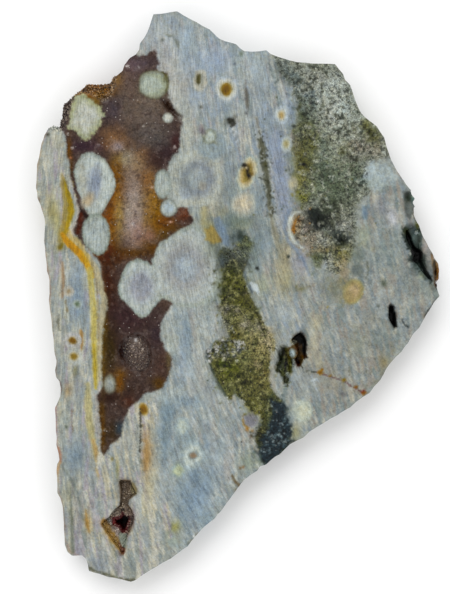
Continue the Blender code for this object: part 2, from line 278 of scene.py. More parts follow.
leftStrip = [
    (-38.9, 34.3), (-35.6, 34.1), (-34.6, 31.7), (-33.6, 24.9), (-32.5, 19.7), (-31.7, 18.1), (-31.9, 16.3),
    (-33.1, 13.1), (-29.2, 8.1), (-28.1, 5.3), (-26.9, -0.3), (-27.7, -6.7), (-27.9, -18.7), (-27.9, -30.7),
    (-26.9, -34.7), (-26.9, -40.7), (-27.7, -46.7), (-25.7, -57.7), (-30.7, -57.7), (-39.7, -52.7),
    (-41.7, -16.7), (-41.7, 31.3),
]

lowerGround = [
    (-27.7, -20.7), (-21.7, -21.5), (-15.7, -19.5), (-15.7, -24.7), (-17.2, -28.7), (-17.2, -36.7),
    (-15.7, -40.7), (-13.2, -43.7), (-14.7, -52.7), (-19.7, -58.7), (-29.7, -58.7), (-31.7, -51.7),
    (-30.9, -40.7), (-28.1, -31.7),
]

upperGround = [
    (-20.7, 48.9), (-17.7, 57.3), (12.4, 49.3), (12.4, 33.3), (11.6, 19.3), (14.4, 7.3), (18.4, -0.7),
    (12.4, -8.7), (4.8, -4.7), (2.4, 1.3), (0.4, 11.3), (-6.7, 16.3), (-11.7, 18.3), (-11.7, 37.3),
    (-15.7, 45.3),
]

middleGround = [
    (-15.7, -18.7), (-14.7, -6.7), (-15.7, -0.7), (-3.7, -0.7), (-3.7, -8.7), (-5.7, -12.7), (4.8, -26.7),
    (4.8, -33.1), (0.4, -40.7), (-11.7, -52.7), (-17.7, -49.7), (-14.7, -42.7), (-17.2, -34.7),
    (-16.7, -24.7),
]

rightGround = [
    (12.4, 11.3), (22.4, 6.9), (26.4, 21.3), (30.4, 27.3), (32.4, 25.3), (36.4, 19.3), (37.4, 9.3),
    (40.6, 5.3), (40.4, 0.1), (24.4, -20.7), (12.4, -28.7), (9.3, -24.7), (6.4, -16.7), (7.6, -9.7),
    (12.4, -6.7), (16, -0.7),
]

keyholeRing = [
    (-23.9, -36.7), (-21.5, -36.6), (-21.1, -37.9), (-20.2, -39.5), (-21.9, -40.7), (-22, -41.7),
    (-21.2, -42.7), (-20.8, -44.1), (-20.9, -45.3), (-22.1, -48.1), (-22.8, -51.7), (-23.5, -51.7),
    (-23.9, -50.5), (-27.5, -45.9), (-27.5, -45.3), (-26.9, -44.7), (-25.9, -44.1), (-24.2, -42.3),
    (-23.7, -41.3), (-23.6, -39.7),
]

middleMoss = [
    (-2.9, 6.9), (-3.9, 8.3), (-3.2, 9.9), (-1.2, 9.3), (-0.1, 10.7), (0.4, 12.1), (1.6, 12.3), (2.6, 11.3),
    (2.6, 9.3), (1, 4.9), (1.6, 2.3), (2.6, -0.3), (4.8, -4.7), (7.2, -8.7), (7.8, -10.7), (6.8, -11.1),
    (6.4, -12.7), (6.2, -15.7), (6.6, -18.3), (7.6, -19.9), (8.8, -20.9), (9.3, -22.3), (9.6, -24.3),
    (10.2, -26.7), (10.2, -29.3), (9.2, -30.7), (7.6, -32.3), (6, -33.5), (4.8, -33.1), (4.2, -30.7),
    (3.4, -28.7), (3.8, -26.7), (4.8, -25.7), (4.5, -23.7), (3, -23.3), (1.8, -22.3), (1, -20.9),
    (-0.2, -19.9), (-0.9, -18.7), (-1.2, -20.3), (-1.9, -20.7), (-4.7, -15.9), (-6.1, -12.3), (-5.7, -10.7),
    (-4.7, -9.1), (-3.2, -8.3), (-1.5, -8.1), (-2.5, -6.7), (-3.2, -4.3), (-3.5, -2.3), (-3.5, -0.7),
    (-2.7, 5.3),
]

upperMoss = [
    (7, 48.5), (10.4, 49.3), (21.4, 47.3), (24, 37.7), (26.8, 35.3), (30.4, 31.3), (30.8, 27.7),
    (25.6, 26.9), (25.6, 23.3), (26.8, 21.3), (24.8, 19.3), (23.2, 18.1), (23.8, 14.9), (23.6, 12.1),
    (22.4, 7.3), (21.2, 5.3), (19.2, 4.3), (17.6, 5.3), (16.8, 6.9), (15.6, 5.7), (14.6, 8.1), (14, 10.3),
    (12, 11.3), (10.8, 12.9), (11.6, 15.7), (12.8, 17.3), (12.4, 19.3), (11.4, 21.7), (11.8, 25.3),
    (11.6, 29.3), (10.8, 30.9), (10.8, 32.9), (12, 35.3), (12.2, 38.1), (11.2, 40.1), (10.6, 42.5),
    (9.2, 43.3), (8.2, 44.9),
]

druse = [
    (-6.1, -11.1), (-4.2, -8.5), (-2.9, -8.1), (-1.1, -8.3), (0.6, -8.9), (1.6, -10.7), (0.6, -11.7),
    (-0.9, -12.3), (-2.5, -12.7), (-4.5, -12.7), (-5.7, -13.1),
]

grooveLine = [
    (33.4, 13.3), (34.1, 13.5), (34.8, 12.7), (35.1, 11.3), (35.8, 9.9), (36.6, 9.3), (37.1, 8.5),
    (37, 7.3), (37.4, 6.1), (38.1, 4.9), (38.8, 3.5), (38.1, 3.1), (36.6, 5.1), (35, 7.7), (34.1, 10.1),
    (33.6, 11.1),
]

blackCrescent = [
    (10.6, -8.5), (11.2, -7.9), (12.4, -7.2), (13.2, -7.9), (13.6, -8.9), (13.7, -10.1), (13.6, -11.1),
    (13.8, -12.1), (13.4, -12.5), (13, -12.5), (12.4, -14), (11.8, -13.9), (11.2, -12.5), (11.6, -12.1),
    (11.9, -11.3), (11.6, -10.3), (10.6, -9.1),
]

greenPocket = [
    (8.6, -10.1), (9.3, -10.1), (10.2, -10.7), (10.4, -11.7), (10.8, -12.5), (11, -13.7), (10.8, -15.1),
    (10.2, -15.5), (10.1, -16.7), (9.8, -17.9), (9.2, -17.3), (9, -16.1), (7.6, -14.9), (7.6, -13.9),
    (8.2, -12.5),
]

crystalEdge = [
    (-38.1, 33.3), (-35.2, 40.9), (-32.5, 43.3), (-28.5, 44.5), (-24.5, 44.5), (-24.5, 42.5), (-25.9, 39.5),
    (-27.1, 39.1), (-28.5, 40.1), (-30.1, 40.8), (-31.7, 40.7), (-32.9, 39.7), (-33.6, 38.1), (-34.9, 33.1),
]

smoothLedge = [
    (-27.9, -44.9), (-26.5, -44.5), (-25.1, -47.3), (-24.1, -47.9), (-23.2, -47.5), (-22.1, -47.7),
    (-22.7, -52.1), (-24.1, -51.3), (-26.5, -47.9),
]

darkShelf = [
    (33.1, 21.3), (36.1, 21.1), (36.6, 16.9), (36.1, 13.3), (37.6, 12.9), (39.6, 8.1), (41.2, 5.7),
    (41, 1.3), (38.8, 2.1), (39, 6.9), (36, 11.7), (34.8, 16.9), (33.1, 17.7),
]

paleZone = {
    "streaks": [
        (upperGround, {"aeb2ac": 0.4, "8f9ca4": 0.4, "a5a29e": 0.2, "b7b9ae": 0.15, "8a9694": 0.15}, 0.6, 51, 1, 7, -78),
        (middleGround, {"aeb5b2": 0.4, "93a0a2": 0.35, "a9a8a0": 0.2, "bcc0b6": 0.12}, 0.6, 57, 1, 7, -75),
    ],
    "tints": [
        (-17.7, 52.3, 1.4, 3.2, "a9acaa", 0.7, 12), (-10.7, 50.3, 1.2, 4.8, "9db0bb", 0.9, -8),
        (-4, 47.3, 2.8, 2.4, "91a1b6", 0.8, 10), (-6.9, 45.7, 2.8, 1.8, "95a5b4", 0.7),
        (-14.1, 46.9, 2, 5.6, "b0aeaa", 0.8, 6), (-12.7, 42.3, 1.2, 4.8, "b5b1ac", 0.8, 4),
        (-11.2, 40.9, 1.6, 4.8, "b4b2a8", 0.8, -12), (-9.1, 37.3, 1.8, 3.6, "b3b4aa", 0.8, -20),
        (-9.9, 32.3, 1.6, 3.2, "b4b6aa"), (-8.5, 40.1, 1.4, 2.4, "8997a4"),
        (3.4, 44.9, 1.6, 3.6, "9fa9ac", 0.7), (4.8, 41.3, 1.6, 4, "93a0a8", 0.6),
        (10.4, 38.1, 1.4, 2.8, "8ea0b4"), (4.8, 35.7, 1.8, 3.6, "94a3b0", 0.7),
        (6, 30.9, 1.6, 2.8, "8a9ab0"), (8.3, 26.3, 1.6, 6.8, "8e9cb2", 0.9, 2),
        (9.2, 19.3, 1.8, 6, "929cae", 0.8, 4), (-2.7, 37.7, 4.4, 1.8, "93a1aa", 0.6),
        (0.4, 35.7, 1.6, 2, "b3b7ac", 0.7), (-5.7, 29.3, 2.8, 1.6, "a9b1ac", 0.7),
        (-2.1, 24.3, 1.4, 4.8, "9daab4", 0.8, -12), (4, 19.3, 1.8, 3.6, "93a2a8"),
        (4.8, 11.3, 1.6, 3.6, "8c9ba2"), (-1.1, 14.9, 1.6, 1.6, "7e8e88"), (-3.2, 16.9, 2, 1.4, "8c8a72"),
        (0.4, 14.1, 1.8, 1, "a9a88c", 0.9), (-6.1, 19.3, 2, 1.6, "b3b098"),
        (-4.5, 22.3, 1, 4.8, "b0ae9c", 0.8, -4), (-6.9, 16.3, 0.8, 3.6, "b3aa7c", 0.9, -4),
        (-5.9, 12.9, 1.2, 2.4, "a99e60", 0.9, -10), (-4.7, 12.9, 0.6, 2, "8a7c44", 0.8, -10),
        (-3.1, 12.9, 0.8, 4, "70839c", 0.9, -25), (2.8, 6.9, 1.4, 4.4, "8c9a94", 0.8, -8),
        (4.8, 2.3, 1.8, 2.4, "a0a68c", 0.8, -30), (9.2, 6.9, 1.6, 5.2, "aea582", 0.9, -10),
        (9.8, 3.3, 1.4, 2.8, "b5ac7e", 0.8, -6), (12.4, 6.9, 1.8, 2.8, "9a9ba2", 0.8, -10),
        (-7.1, -6.7, 1.2, 5.2, "a9b2ae"), (-10.5, -6.7, 1, 4.4, "7e94a3"),
        (-12.5, -5.7, 1.2, 3.6, "a8b4b4", 0.7), (-13.2, -9.7, 1.2, 2.8, "b2bab0"),
        (-11.1, -13.7, 1.2, 4.8, "9fafba"), (-9.1, -15.1, 1.2, 4.8, "a4b0b2", 0.7, 4),
        (-6.7, -15.1, 1, 4, "b0b5ac", 0.8, 6), (-5.1, -19.1, 2.4, 2.8, "a0aaac", 0.8, -20),
        (-11.7, -19.1, 2.8, 1.2, "b0b9b4", 0.8, 8), (-14.7, -20.3, 2.4, 1.4, "b3bab2", 0.8, -25),
        (-10.5, -21.1, 2.8, 1.2, "8fa2ac", 0.9), (-13.7, -23.1, 1.6, 2, "7f949f", 0.9),
        (-14.7, -28.7, 1, 8, "7d929d", 0.9), (-12.1, -28.7, 1.2, 2.8, "8a9ca2"),
        (-9.7, -28.7, 1.6, 1.6, "7f949c"), (-6.1, -28.7, 0.8, 4.8, "8a9ca6", 0.7, 4),
        (-11.7, -38.7, 2.4, 4, "8799a0", 0.9), (-9.2, -40.7, 2.4, 5.6, "7a8f9f", 0.9, -8),
        (-6.7, -38.7, 1.6, 5.2, "7c91a2", 0.9, -14), (-8.1, -35.7, 2, 1.8, "748a9a"),
        (-6.2, -44.7, 2, 2.8, "899ca4", 0.8, -20), (-4, -31.7, 1.4, 4.4, "9aa7aa", 0.7, -10),
        (-1.9, -33.1, 1.2, 3.2, "b3b5b2", 0.8, -14), (2, -33.1, 1.8, 2, "8f9a88", 0.8, -40),
        (-13.2, -48.7, 2.4, 1.8, "8c9a8e", 0.7, -20), (-12.7, -46.1, 1, 1.2, "9c9a54", 0.9, -30),
        (-14.7, 52.3, 4, 4.4, "b8c2c4", 0.5), (-6.7, 48.3, 5.2, 4.8, "b0c0d0", 0.4),
        (2.8, 46.3, 4.4, 4, "b8c8cc", 0.4), (-7.7, 39.3, 4, 3.6, "aebcc4", 0.3),
        (-1.2, 19.3, 1.2, 4, "7c8a80", 0.5), (4, 18.3, 1.6, 4.4, "7c8a8c", 0.5),
        (0.4, 14.9, 3.2, 1.2, "7a8876", 0.5), (-5.1, 11.3, 1.6, 2.4, "7a7a58", 0.6),
        (-4, 8.3, 1.2, 1.6, "626c6a"), (3.8, 11.3, 1.2, 3.2, "7a8a90", 0.6),
        (-5.2, 1.3, 1.6, 4.4, "80908c", 0.5), (-17.7, -40.7, 3.6, 4.8, "c4ccc6", 0.4),
        (-17.7, -33.7, 2, 3.2, "c0baa4", 0.3), (-7.7, -42.3, 4, 3.6, "a0b4be", 0.3),
        (-6.2, -34.7, 2.4, 3.2, "a8b8bc", 0.3), (4.8, 27.3, 0.8, 8, "7c8684", 0.4, -6),
        (-11.1, 14.5, 4.4, 2.8, "7d8474", 0.4), (-2.1, 23.7, 2.8, 4.4, "7e8782", 0.4),
        (-19.7, -40.7, 5.2, 4.8, "cacec8", 0.4), (-11.7, 23.3, 3.2, 3.2, "8a9490", 0.3),
    ],
    "bands": [
        ([(-14.9, 52.7, 0.3), (-13.9, 52.1, 0.6), (-13.1, 52.1, 0.4)], "7f8676", 0.2, 0.8),
        ([(-12.9, 51.7, 0.3), (-12.1, 50.7, 0.6), (-11.9, 49.7, 0.3)], "7c8276", 0.2, 0.8),
        ([(1.4, 43.3, 0.3), (1.6, 41.3, 0.5), (1.8, 39.1, 0.6)], "6b6560", 0.24, 0.75),
        ([(-4.5, 29.3, 0.2), (-3.2, 27.3, 0.3), (-2.7, 24.3, 0.3), (-1.5, 21.7, 0.2)], "b3bab4", 0.18, 0.6),
        ([(-5.7, -24.7, 0.3), (-4.5, -26.7, 0.4), (-2.9, -28.7, 0.4), (-1.2, -31.1, 0.3)], "b5bcb8", 0.18,
            0.7),
        ([(-6.9, -25.7, 0.3), (-5.7, -28.7, 0.4), (-4.5, -31.1, 0.4), (-3.7, -34.7, 0.3)], "a9b5b8", 0.18,
            0.6),
        ([(1.6, -30.7, 0.3), (3.2, -31.7, 0.4), (4.4, -33.5, 0.4)], "77826e", 0.2, 0.8),
        ([(-1.2, -35.9, 0.5), (-0.5, -37.1, 0.6), (0.4, -38.1, 0.4), (0.6, -39.3, 0.4)], "6b5b3e", 0.2,
            0.85),
        ([(-10.5, -49.7, 0.3), (-9.2, -48.7, 0.4), (-8.2, -47.5, 0.3)], "6f6e58", 0.16, 0.7),
    ],
    "spots": [
        (-15.2, 51.3, 0.3, 0.3, "62685c", 0.9), (-0.7, 46.5, 0.3, 0.3, "5c6672"),
        (-7.5, 37.9, 0.3, 0.3, "4f5248", 0.9), (1.6, 36.7, 0.3, 0.3, "4c5054"),
        (1.6, 39.5, 0.4, 0.4, "5c5c60", 0.7), (0.6, 48.5, 0.4, 0.6, "5d6a52", 0.7),
        (-0.5, -38.7, 0.3, 0.3, "4f4a34", 0.9), (0.4, -34.3, 0.3, 0.3, "7a5c30", 0.9),
        (1, -34.1, 0.3, 0.3, "7a5228"), (5, 19.7, 0.2, 0.3, "3f4650", 0.9),
        (-8.7, -48.1, 0.6, 0.3, "e8eae4", 0.8, -40),
    ],
    "patches": [
        ([(20.4, -5.7), (29.4, -6.7), (31.2, -10.7), (28.4, -17.7), (22.8, -20.3), (18.8, -15.7)], "868470",
            1.4, 1, 0.7, 1),
        ([(14, -3.1), (15.6, -2.9), (17.4, -10.7), (17.4, -14.1), (15.6, -14.3), (14.6, -8.7)], "b4b198",
            0.48, 0.4, 0.85),
    ],
}

leftZone = {
    "streaks": [
        (leftStrip, {"a9aca2": 0.5, "9ba39f": 0.35, "b7b8a6": 0.25, "a6a1a6": 0.2, "c0bfae": 0.12}, 0.68, 21, 1, 8, 88),
    ],
    "tints": [
        (-36.1, 14.9, 0.8, 2.8, "aeab7c"), (-35.6, 9.9, 0.7, 0.6, "7a6814", 0.9),
        (-32.1, 5.3, 1.4, 2.8, "95a2a8", 0.7, -20), (-32.5, 0.1, 1.8, 5.2, "8ea0ae"),
        (-31.7, -1.9, 1, 3.6, "7f94a3"), (-32.1, -16.7, 0.8, 4.4, "8f979c", 0.6),
        (-34.1, -18.9, 0.8, 1.6, "a08c62"), (-32.6, -14.9, 0.5, 1.2, "7d7c5c"),
        (-32.5, -31.9, 2, 3.8, "7c909e", 0.9), (-33.6, -38.7, 1, 2, "8b8e7c", 0.7, -25),
        (-31.7, -46.7, 0.8, 5.2, "8e8d96"), (-37.2, 16.9, 1.2, 3.2, "9c8c3c", 0.5, 6),
    ],
    "bands": [
        ([(-38.5, 33.9, 0.8), (-39.5, 30.3, 0.6), (-40.5, 24.3, 0.4), (-40.6, 21.3, 0.4),
            (-40.1, 18.9, 0.5)], "b09a7e", 0.24, 0.8),
        ([(-39.5, 17.7, 0.4), (-39.1, 14.3, 0.3), (-38.9, 9.3, 0.4), (-37.6, 1.7, 0.5), (-37.9, -1.7, 0.5),
            (-37.5, -5.7, 0.4)], "a88c78", 0.2, 0.7),
        ([(-37.1, -7.7, 0.4), (-37.1, -10.3, 0.4), (-36.5, -13.1, 0.4), (-36.5, -15.5, 0.5),
            (-35.9, -16.9, 0.4)], "9c8876", 0.2, 0.7),
        ([(-35.9, -16.7, 0.4), (-35.6, -18.7, 0.5), (-36.1, -20.3, 0.4)], "5c4038", 0.18, 0.8),
        ([(-36.5, -21.1, 0.3), (-36.6, -24.3, 0.4), (-36.6, -27.7, 0.4), (-36.2, -30.1, 0.4)], "9c7868",
            0.2, 0.7),
        ([(-36.1, -30.3, 0.6), (-35.6, -31.7, 0.8), (-35.6, -33.1, 0.6)], "9a6a50", 0.2, 0.8),
        ([(-35.6, -33.1, 0.6), (-36.1, -34.3, 0.6), (-36.1, -37.1, 0.4)], "b08c60", 0.2, 0.8),
        ([(-36.2, -37.9, 0.4), (-35.5, -40.7, 0.4), (-34.9, -44.7, 0.4), (-34.6, -48.7, 0.4),
            (-33.6, -51.1, 0.5), (-32.1, -51.9, 0.4)], "a58c7c", 0.2, 0.7),
        ([(-35.2, 6.9, 0.4), (-35, 3.3, 0.6), (-35.1, -0.3, 0.4)], "9f8463", 0.2, 0.85),
        ([(-35.6, 7.7, 0.4), (-35.6, 3.3, 0.4), (-35.6, -0.7, 0.4)], "c0b9a2", 0.2, 0.6),
        ([(-34.6, -0.7, 0.3), (-34.2, -3.1, 0.3)], "84795a", 0.16, 0.8),
        ([(-35.9, -3.5, 0.2), (-36.1, -5.1, 0.4), (-35.8, -6.7, 0.3)], "6b6c5c", 0.16, 0.8),
        ([(-31.5, -6.7, 0.5), (-31.2, -8.7, 0.6), (-31.4, -10.7, 0.3)], "b0894a", 0.2, 0.9),
        ([(-30.9, 0.1, 0.4), (-30.1, -4.3, 0.4), (-30.2, -9.7, 0.4), (-30.5, -15.1, 0.3)], "8896a6", 0.28,
            0.6),
        ([(-33.2, -22.7, 0.2), (-33.4, -24.7, 0.3), (-33.1, -27.1, 0.2)], "77654f", 0.14, 0.85),
        ([(-35.2, 24.5, 0.4), (-34.9, 22.5, 1.2), (-34.1, 18.3, 1.8), (-34.1, 16.5, 1.8),
            (-35.2, 12.5, 1.6), (-35.6, 10.9, 1)], "a08c44", 0.32, 0.85),
        ([(-34.9, 23.7, 0.3), (-33.5, 18.5, 1.1), (-33.4, 16.5, 1.1), (-34.6, 12.9, 0.8)], "a08600", 0.22),
        ([(-35.1, 12.5, 0.8), (-34.5, 11.3, 1.4), (-31.7, 8.7, 1.6), (-30.5, 7.1, 1.4), (-29.7, 5.5, 1.2),
            (-29.2, 3.9, 0.8)], "c08a00", 0.22),
        ([(-35.2, 10.5, 0.6), (-35.6, 9.7, 0.6)], "7a6708", 0.2, 0.9),
        ([(-33.1, 24.9, 0.4), (-32.9, 23.1, 0.7), (-32.5, 20.9, 0.5), (-31.9, 18.9, 0.4)], "8a760c", 0.18),
        ([(-33.5, 24.1, 0.3), (-33.2, 22.1, 0.4), (-31.9, 17.3, 0.5), (-32.2, 15.3, 0.6),
            (-33.2, 13.3, 0.7), (-32.9, 11.7, 0.6), (-30.9, 9.7, 0.6)], "b6afa4", 0.22, 0.9),
        ([(-31.7, 10.1, 0.4), (-29.7, 7.7, 0.8), (-28.2, 4.9, 1.2), (-27.5, 1.7, 1.4), (-26.7, -0.5, 1.2),
            (-27.2, -3.7, 1.2), (-27.7, -7.7, 1.2), (-27.9, -16.7, 0.8)], "b3ab8c", 0.24),
        ([(-29.2, 6.9, 0.2), (-28.5, 3.3, 0.3), (-28.1, -0.7, 0.3), (-27.9, -10.7, 0.2)], "988862", 0.14,
            0.75),
        ([(-29.7, 5.3, 1.2), (-28.9, -2.7, 1.2), (-28.9, -7.7, 1.2), (-28.5, -17.5, 1)], "bbae62", 0.24),
        ([(-28.9, -9.7, 0.4), (-28.7, -12.7, 0.5), (-28.5, -18.3, 0.5)], "b49c28", 0.2, 0.85),
        ([(-29.5, 3.3, 0.4), (-29.2, -0.7, 0.4), (-29.5, -6.7, 0.3)], "c3bf92", 0.2, 0.6),
        ([(-30.1, -17.5, 0.8), (-30.1, -20.7, 1.4), (-29.9, -24.3, 1.4), (-29.2, -28.3, 1.2),
            (-27.9, -33.9, 1), (-27.7, -36.3, 0.6)], "b8b07e", 0.28, 0.9),
        ([(-29.1, -28.7, 0.6), (-28.2, -31.7, 1), (-28.1, -33.9, 0.8), (-27.9, -35.9, 0.6)], "bc9c60", 0.28,
            0.85),
        ([(-28.5, -19.7, 0.6), (-28.1, -23.7, 0.8), (-27.9, -27.7, 0.8), (-27.5, -31.1, 0.6)], "b0aca4",
            0.24, 0.8),
        ([(-35.5, -33.7, 0.4), (-33.2, -36.7, 0.5), (-32.2, -39.1, 0.5), (-31.1, -44.7, 0.6)], "788078",
            0.2, 0.8),
        ([(-33.6, -39.5, 0.4), (-33.4, -42.7, 0.6), (-33.2, -46.7, 0.7), (-33.1, -51.1, 0.8)], "7b8070",
            0.2, 0.85),
        ([(-34.9, 14.9, 0.8), (-33.9, 12.1, 1.2), (-31.9, 10.7, 1.2), (-30.5, 8.5, 1.2), (-29.9, 5.7, 1)],
            "bfa044", 0.4, 0.55, 0.28),
    ],
    "orbs": [
        (-33.9, 1.1, 1.1, 1.1, 0, {0.4: "a08f6c", 0.7: "b3b0a2", 1: "b9b6a8"}, 0.2),
        (-32.2, -1.5, 1.2, 1.2, 0, {0.33: "5f7058", 0.5: "8d9c8e", 0.75: "a7b3ae", 1: "98a8b0"}, 0.22),
        (-33.1, -8.8, 1.8, 1.7, 0, {0.3: "7a5600", 0.4: "8a6a14", 0.6: "b9b3a2", 1: "bcbcb6"}),
        (-32.9, -12, 1.9, 1.8, 0, {0.25: "967a2a", 0.36: "a08a3c", 0.55: "b9b49c", 1: "b6b9ae"}, 0.2),
        (-34.5, -24.7, 1.1, 1.9, 0, {0.55: "a3ada8", 0.8: "b9bcae", 1: "aab0a6"}, 0.24, 0.06, 0.85),
    ],
    "spots": [
        (-38.1, 32.4, 0.3, 0.3, "2e2c18", 0.9), (-34.4, -26.1, 0.3, 0.4, "4b5546", 0.9),
        (-39.9, 19.5, 0.3, 0.4, "6a5548", 0.7),
    ],
}

lowZone = {
    "streaks": [
        (lowerGround, {"b3b5ac": 0.45, "9fa6a4": 0.3, "bdb9a2": 0.25, "a9a5a8": 0.15, "c6c5b6": 0.1, "8f9894": 0.1}, 0.6, 33, 1, 8, -82),
    ],
    "tints": [
        (-21.1, -28.7, 1.6, 2.8, "b6b6a8", 0.6), (-18.2, -31.9, 1, 4, "b08a50", 0.9),
        (-24.2, -34.5, 0.4, 1.8, "8b8a58"), (-17.7, -38.7, 1, 5.2, "bcb799", 0.8, -12),
        (-30.1, -44.7, 0.8, 2.4, "b49a62", 0.6), (-27.9, -53.7, 1.8, 1.8, "8d979f"),
    ],
    "bands": [
        ([(-19.7, -21.5, 0.2), (-19.5, -24.7, 0.3), (-19.7, -31.1, 0.2), (-19.2, -34.7, 0.2)], "6d6c58",
            0.12, 0.75),
        ([(-26.9, -34.7, 0.2), (-26.1, -37.7, 0.3), (-25.9, -40.7, 0.2)], "8c8c7c", 0.16, 0.6),
        ([(-29.2, -34.7, 0.3), (-28.9, -38.7, 0.4), (-28.1, -43.7, 0.3)], "8f9698", 0.18, 0.6),
        ([(-25.7, -48.7, 0.2), (-24.5, -51.7, 0.2), (-24.2, -55.7, 0.2)], "8a8c70", 0.14, 0.6),
        ([(-30.2, -54.1, 0.4), (-28.7, -54.9, 0.5), (-24.1, -56.3, 0.5), (-21.7, -56.9, 0.6),
            (-20.7, -56.5, 0.4)], "5c5b46", 0.18, 0.85),
        ([(-30.5, -42.7, 0.3), (-30.3, -44.3, 0.6), (-30.1, -45.9, 0.6), (-29.7, -47.3, 0.3)], "a07c3c",
            0.18, 0.9, 0.16),
        ([(-19.1, -25.7, 0.4), (-18.2, -30.3, 0.9), (-18.7, -34.7, 0.3)], "9a7c4c", 0.32, 0.6, 0.48),
    ],
    "orbs": [
        (-18.9, -22.5, 0.9, 1.3, 20, {0.5: "7f5c08", 0.8: "967424", 1: "b8a66c"}, 0.24),
    ],
    "spots": [
        (-19.5, -25.9, 0.3, 0.3, "34392a", 0.9), (-19.1, -22.9, 0.3, 0.7, "6f4e00", 0.9),
        (-25.2, -32.5, 0.3, 0.4, "7d6a20"),
    ],
}

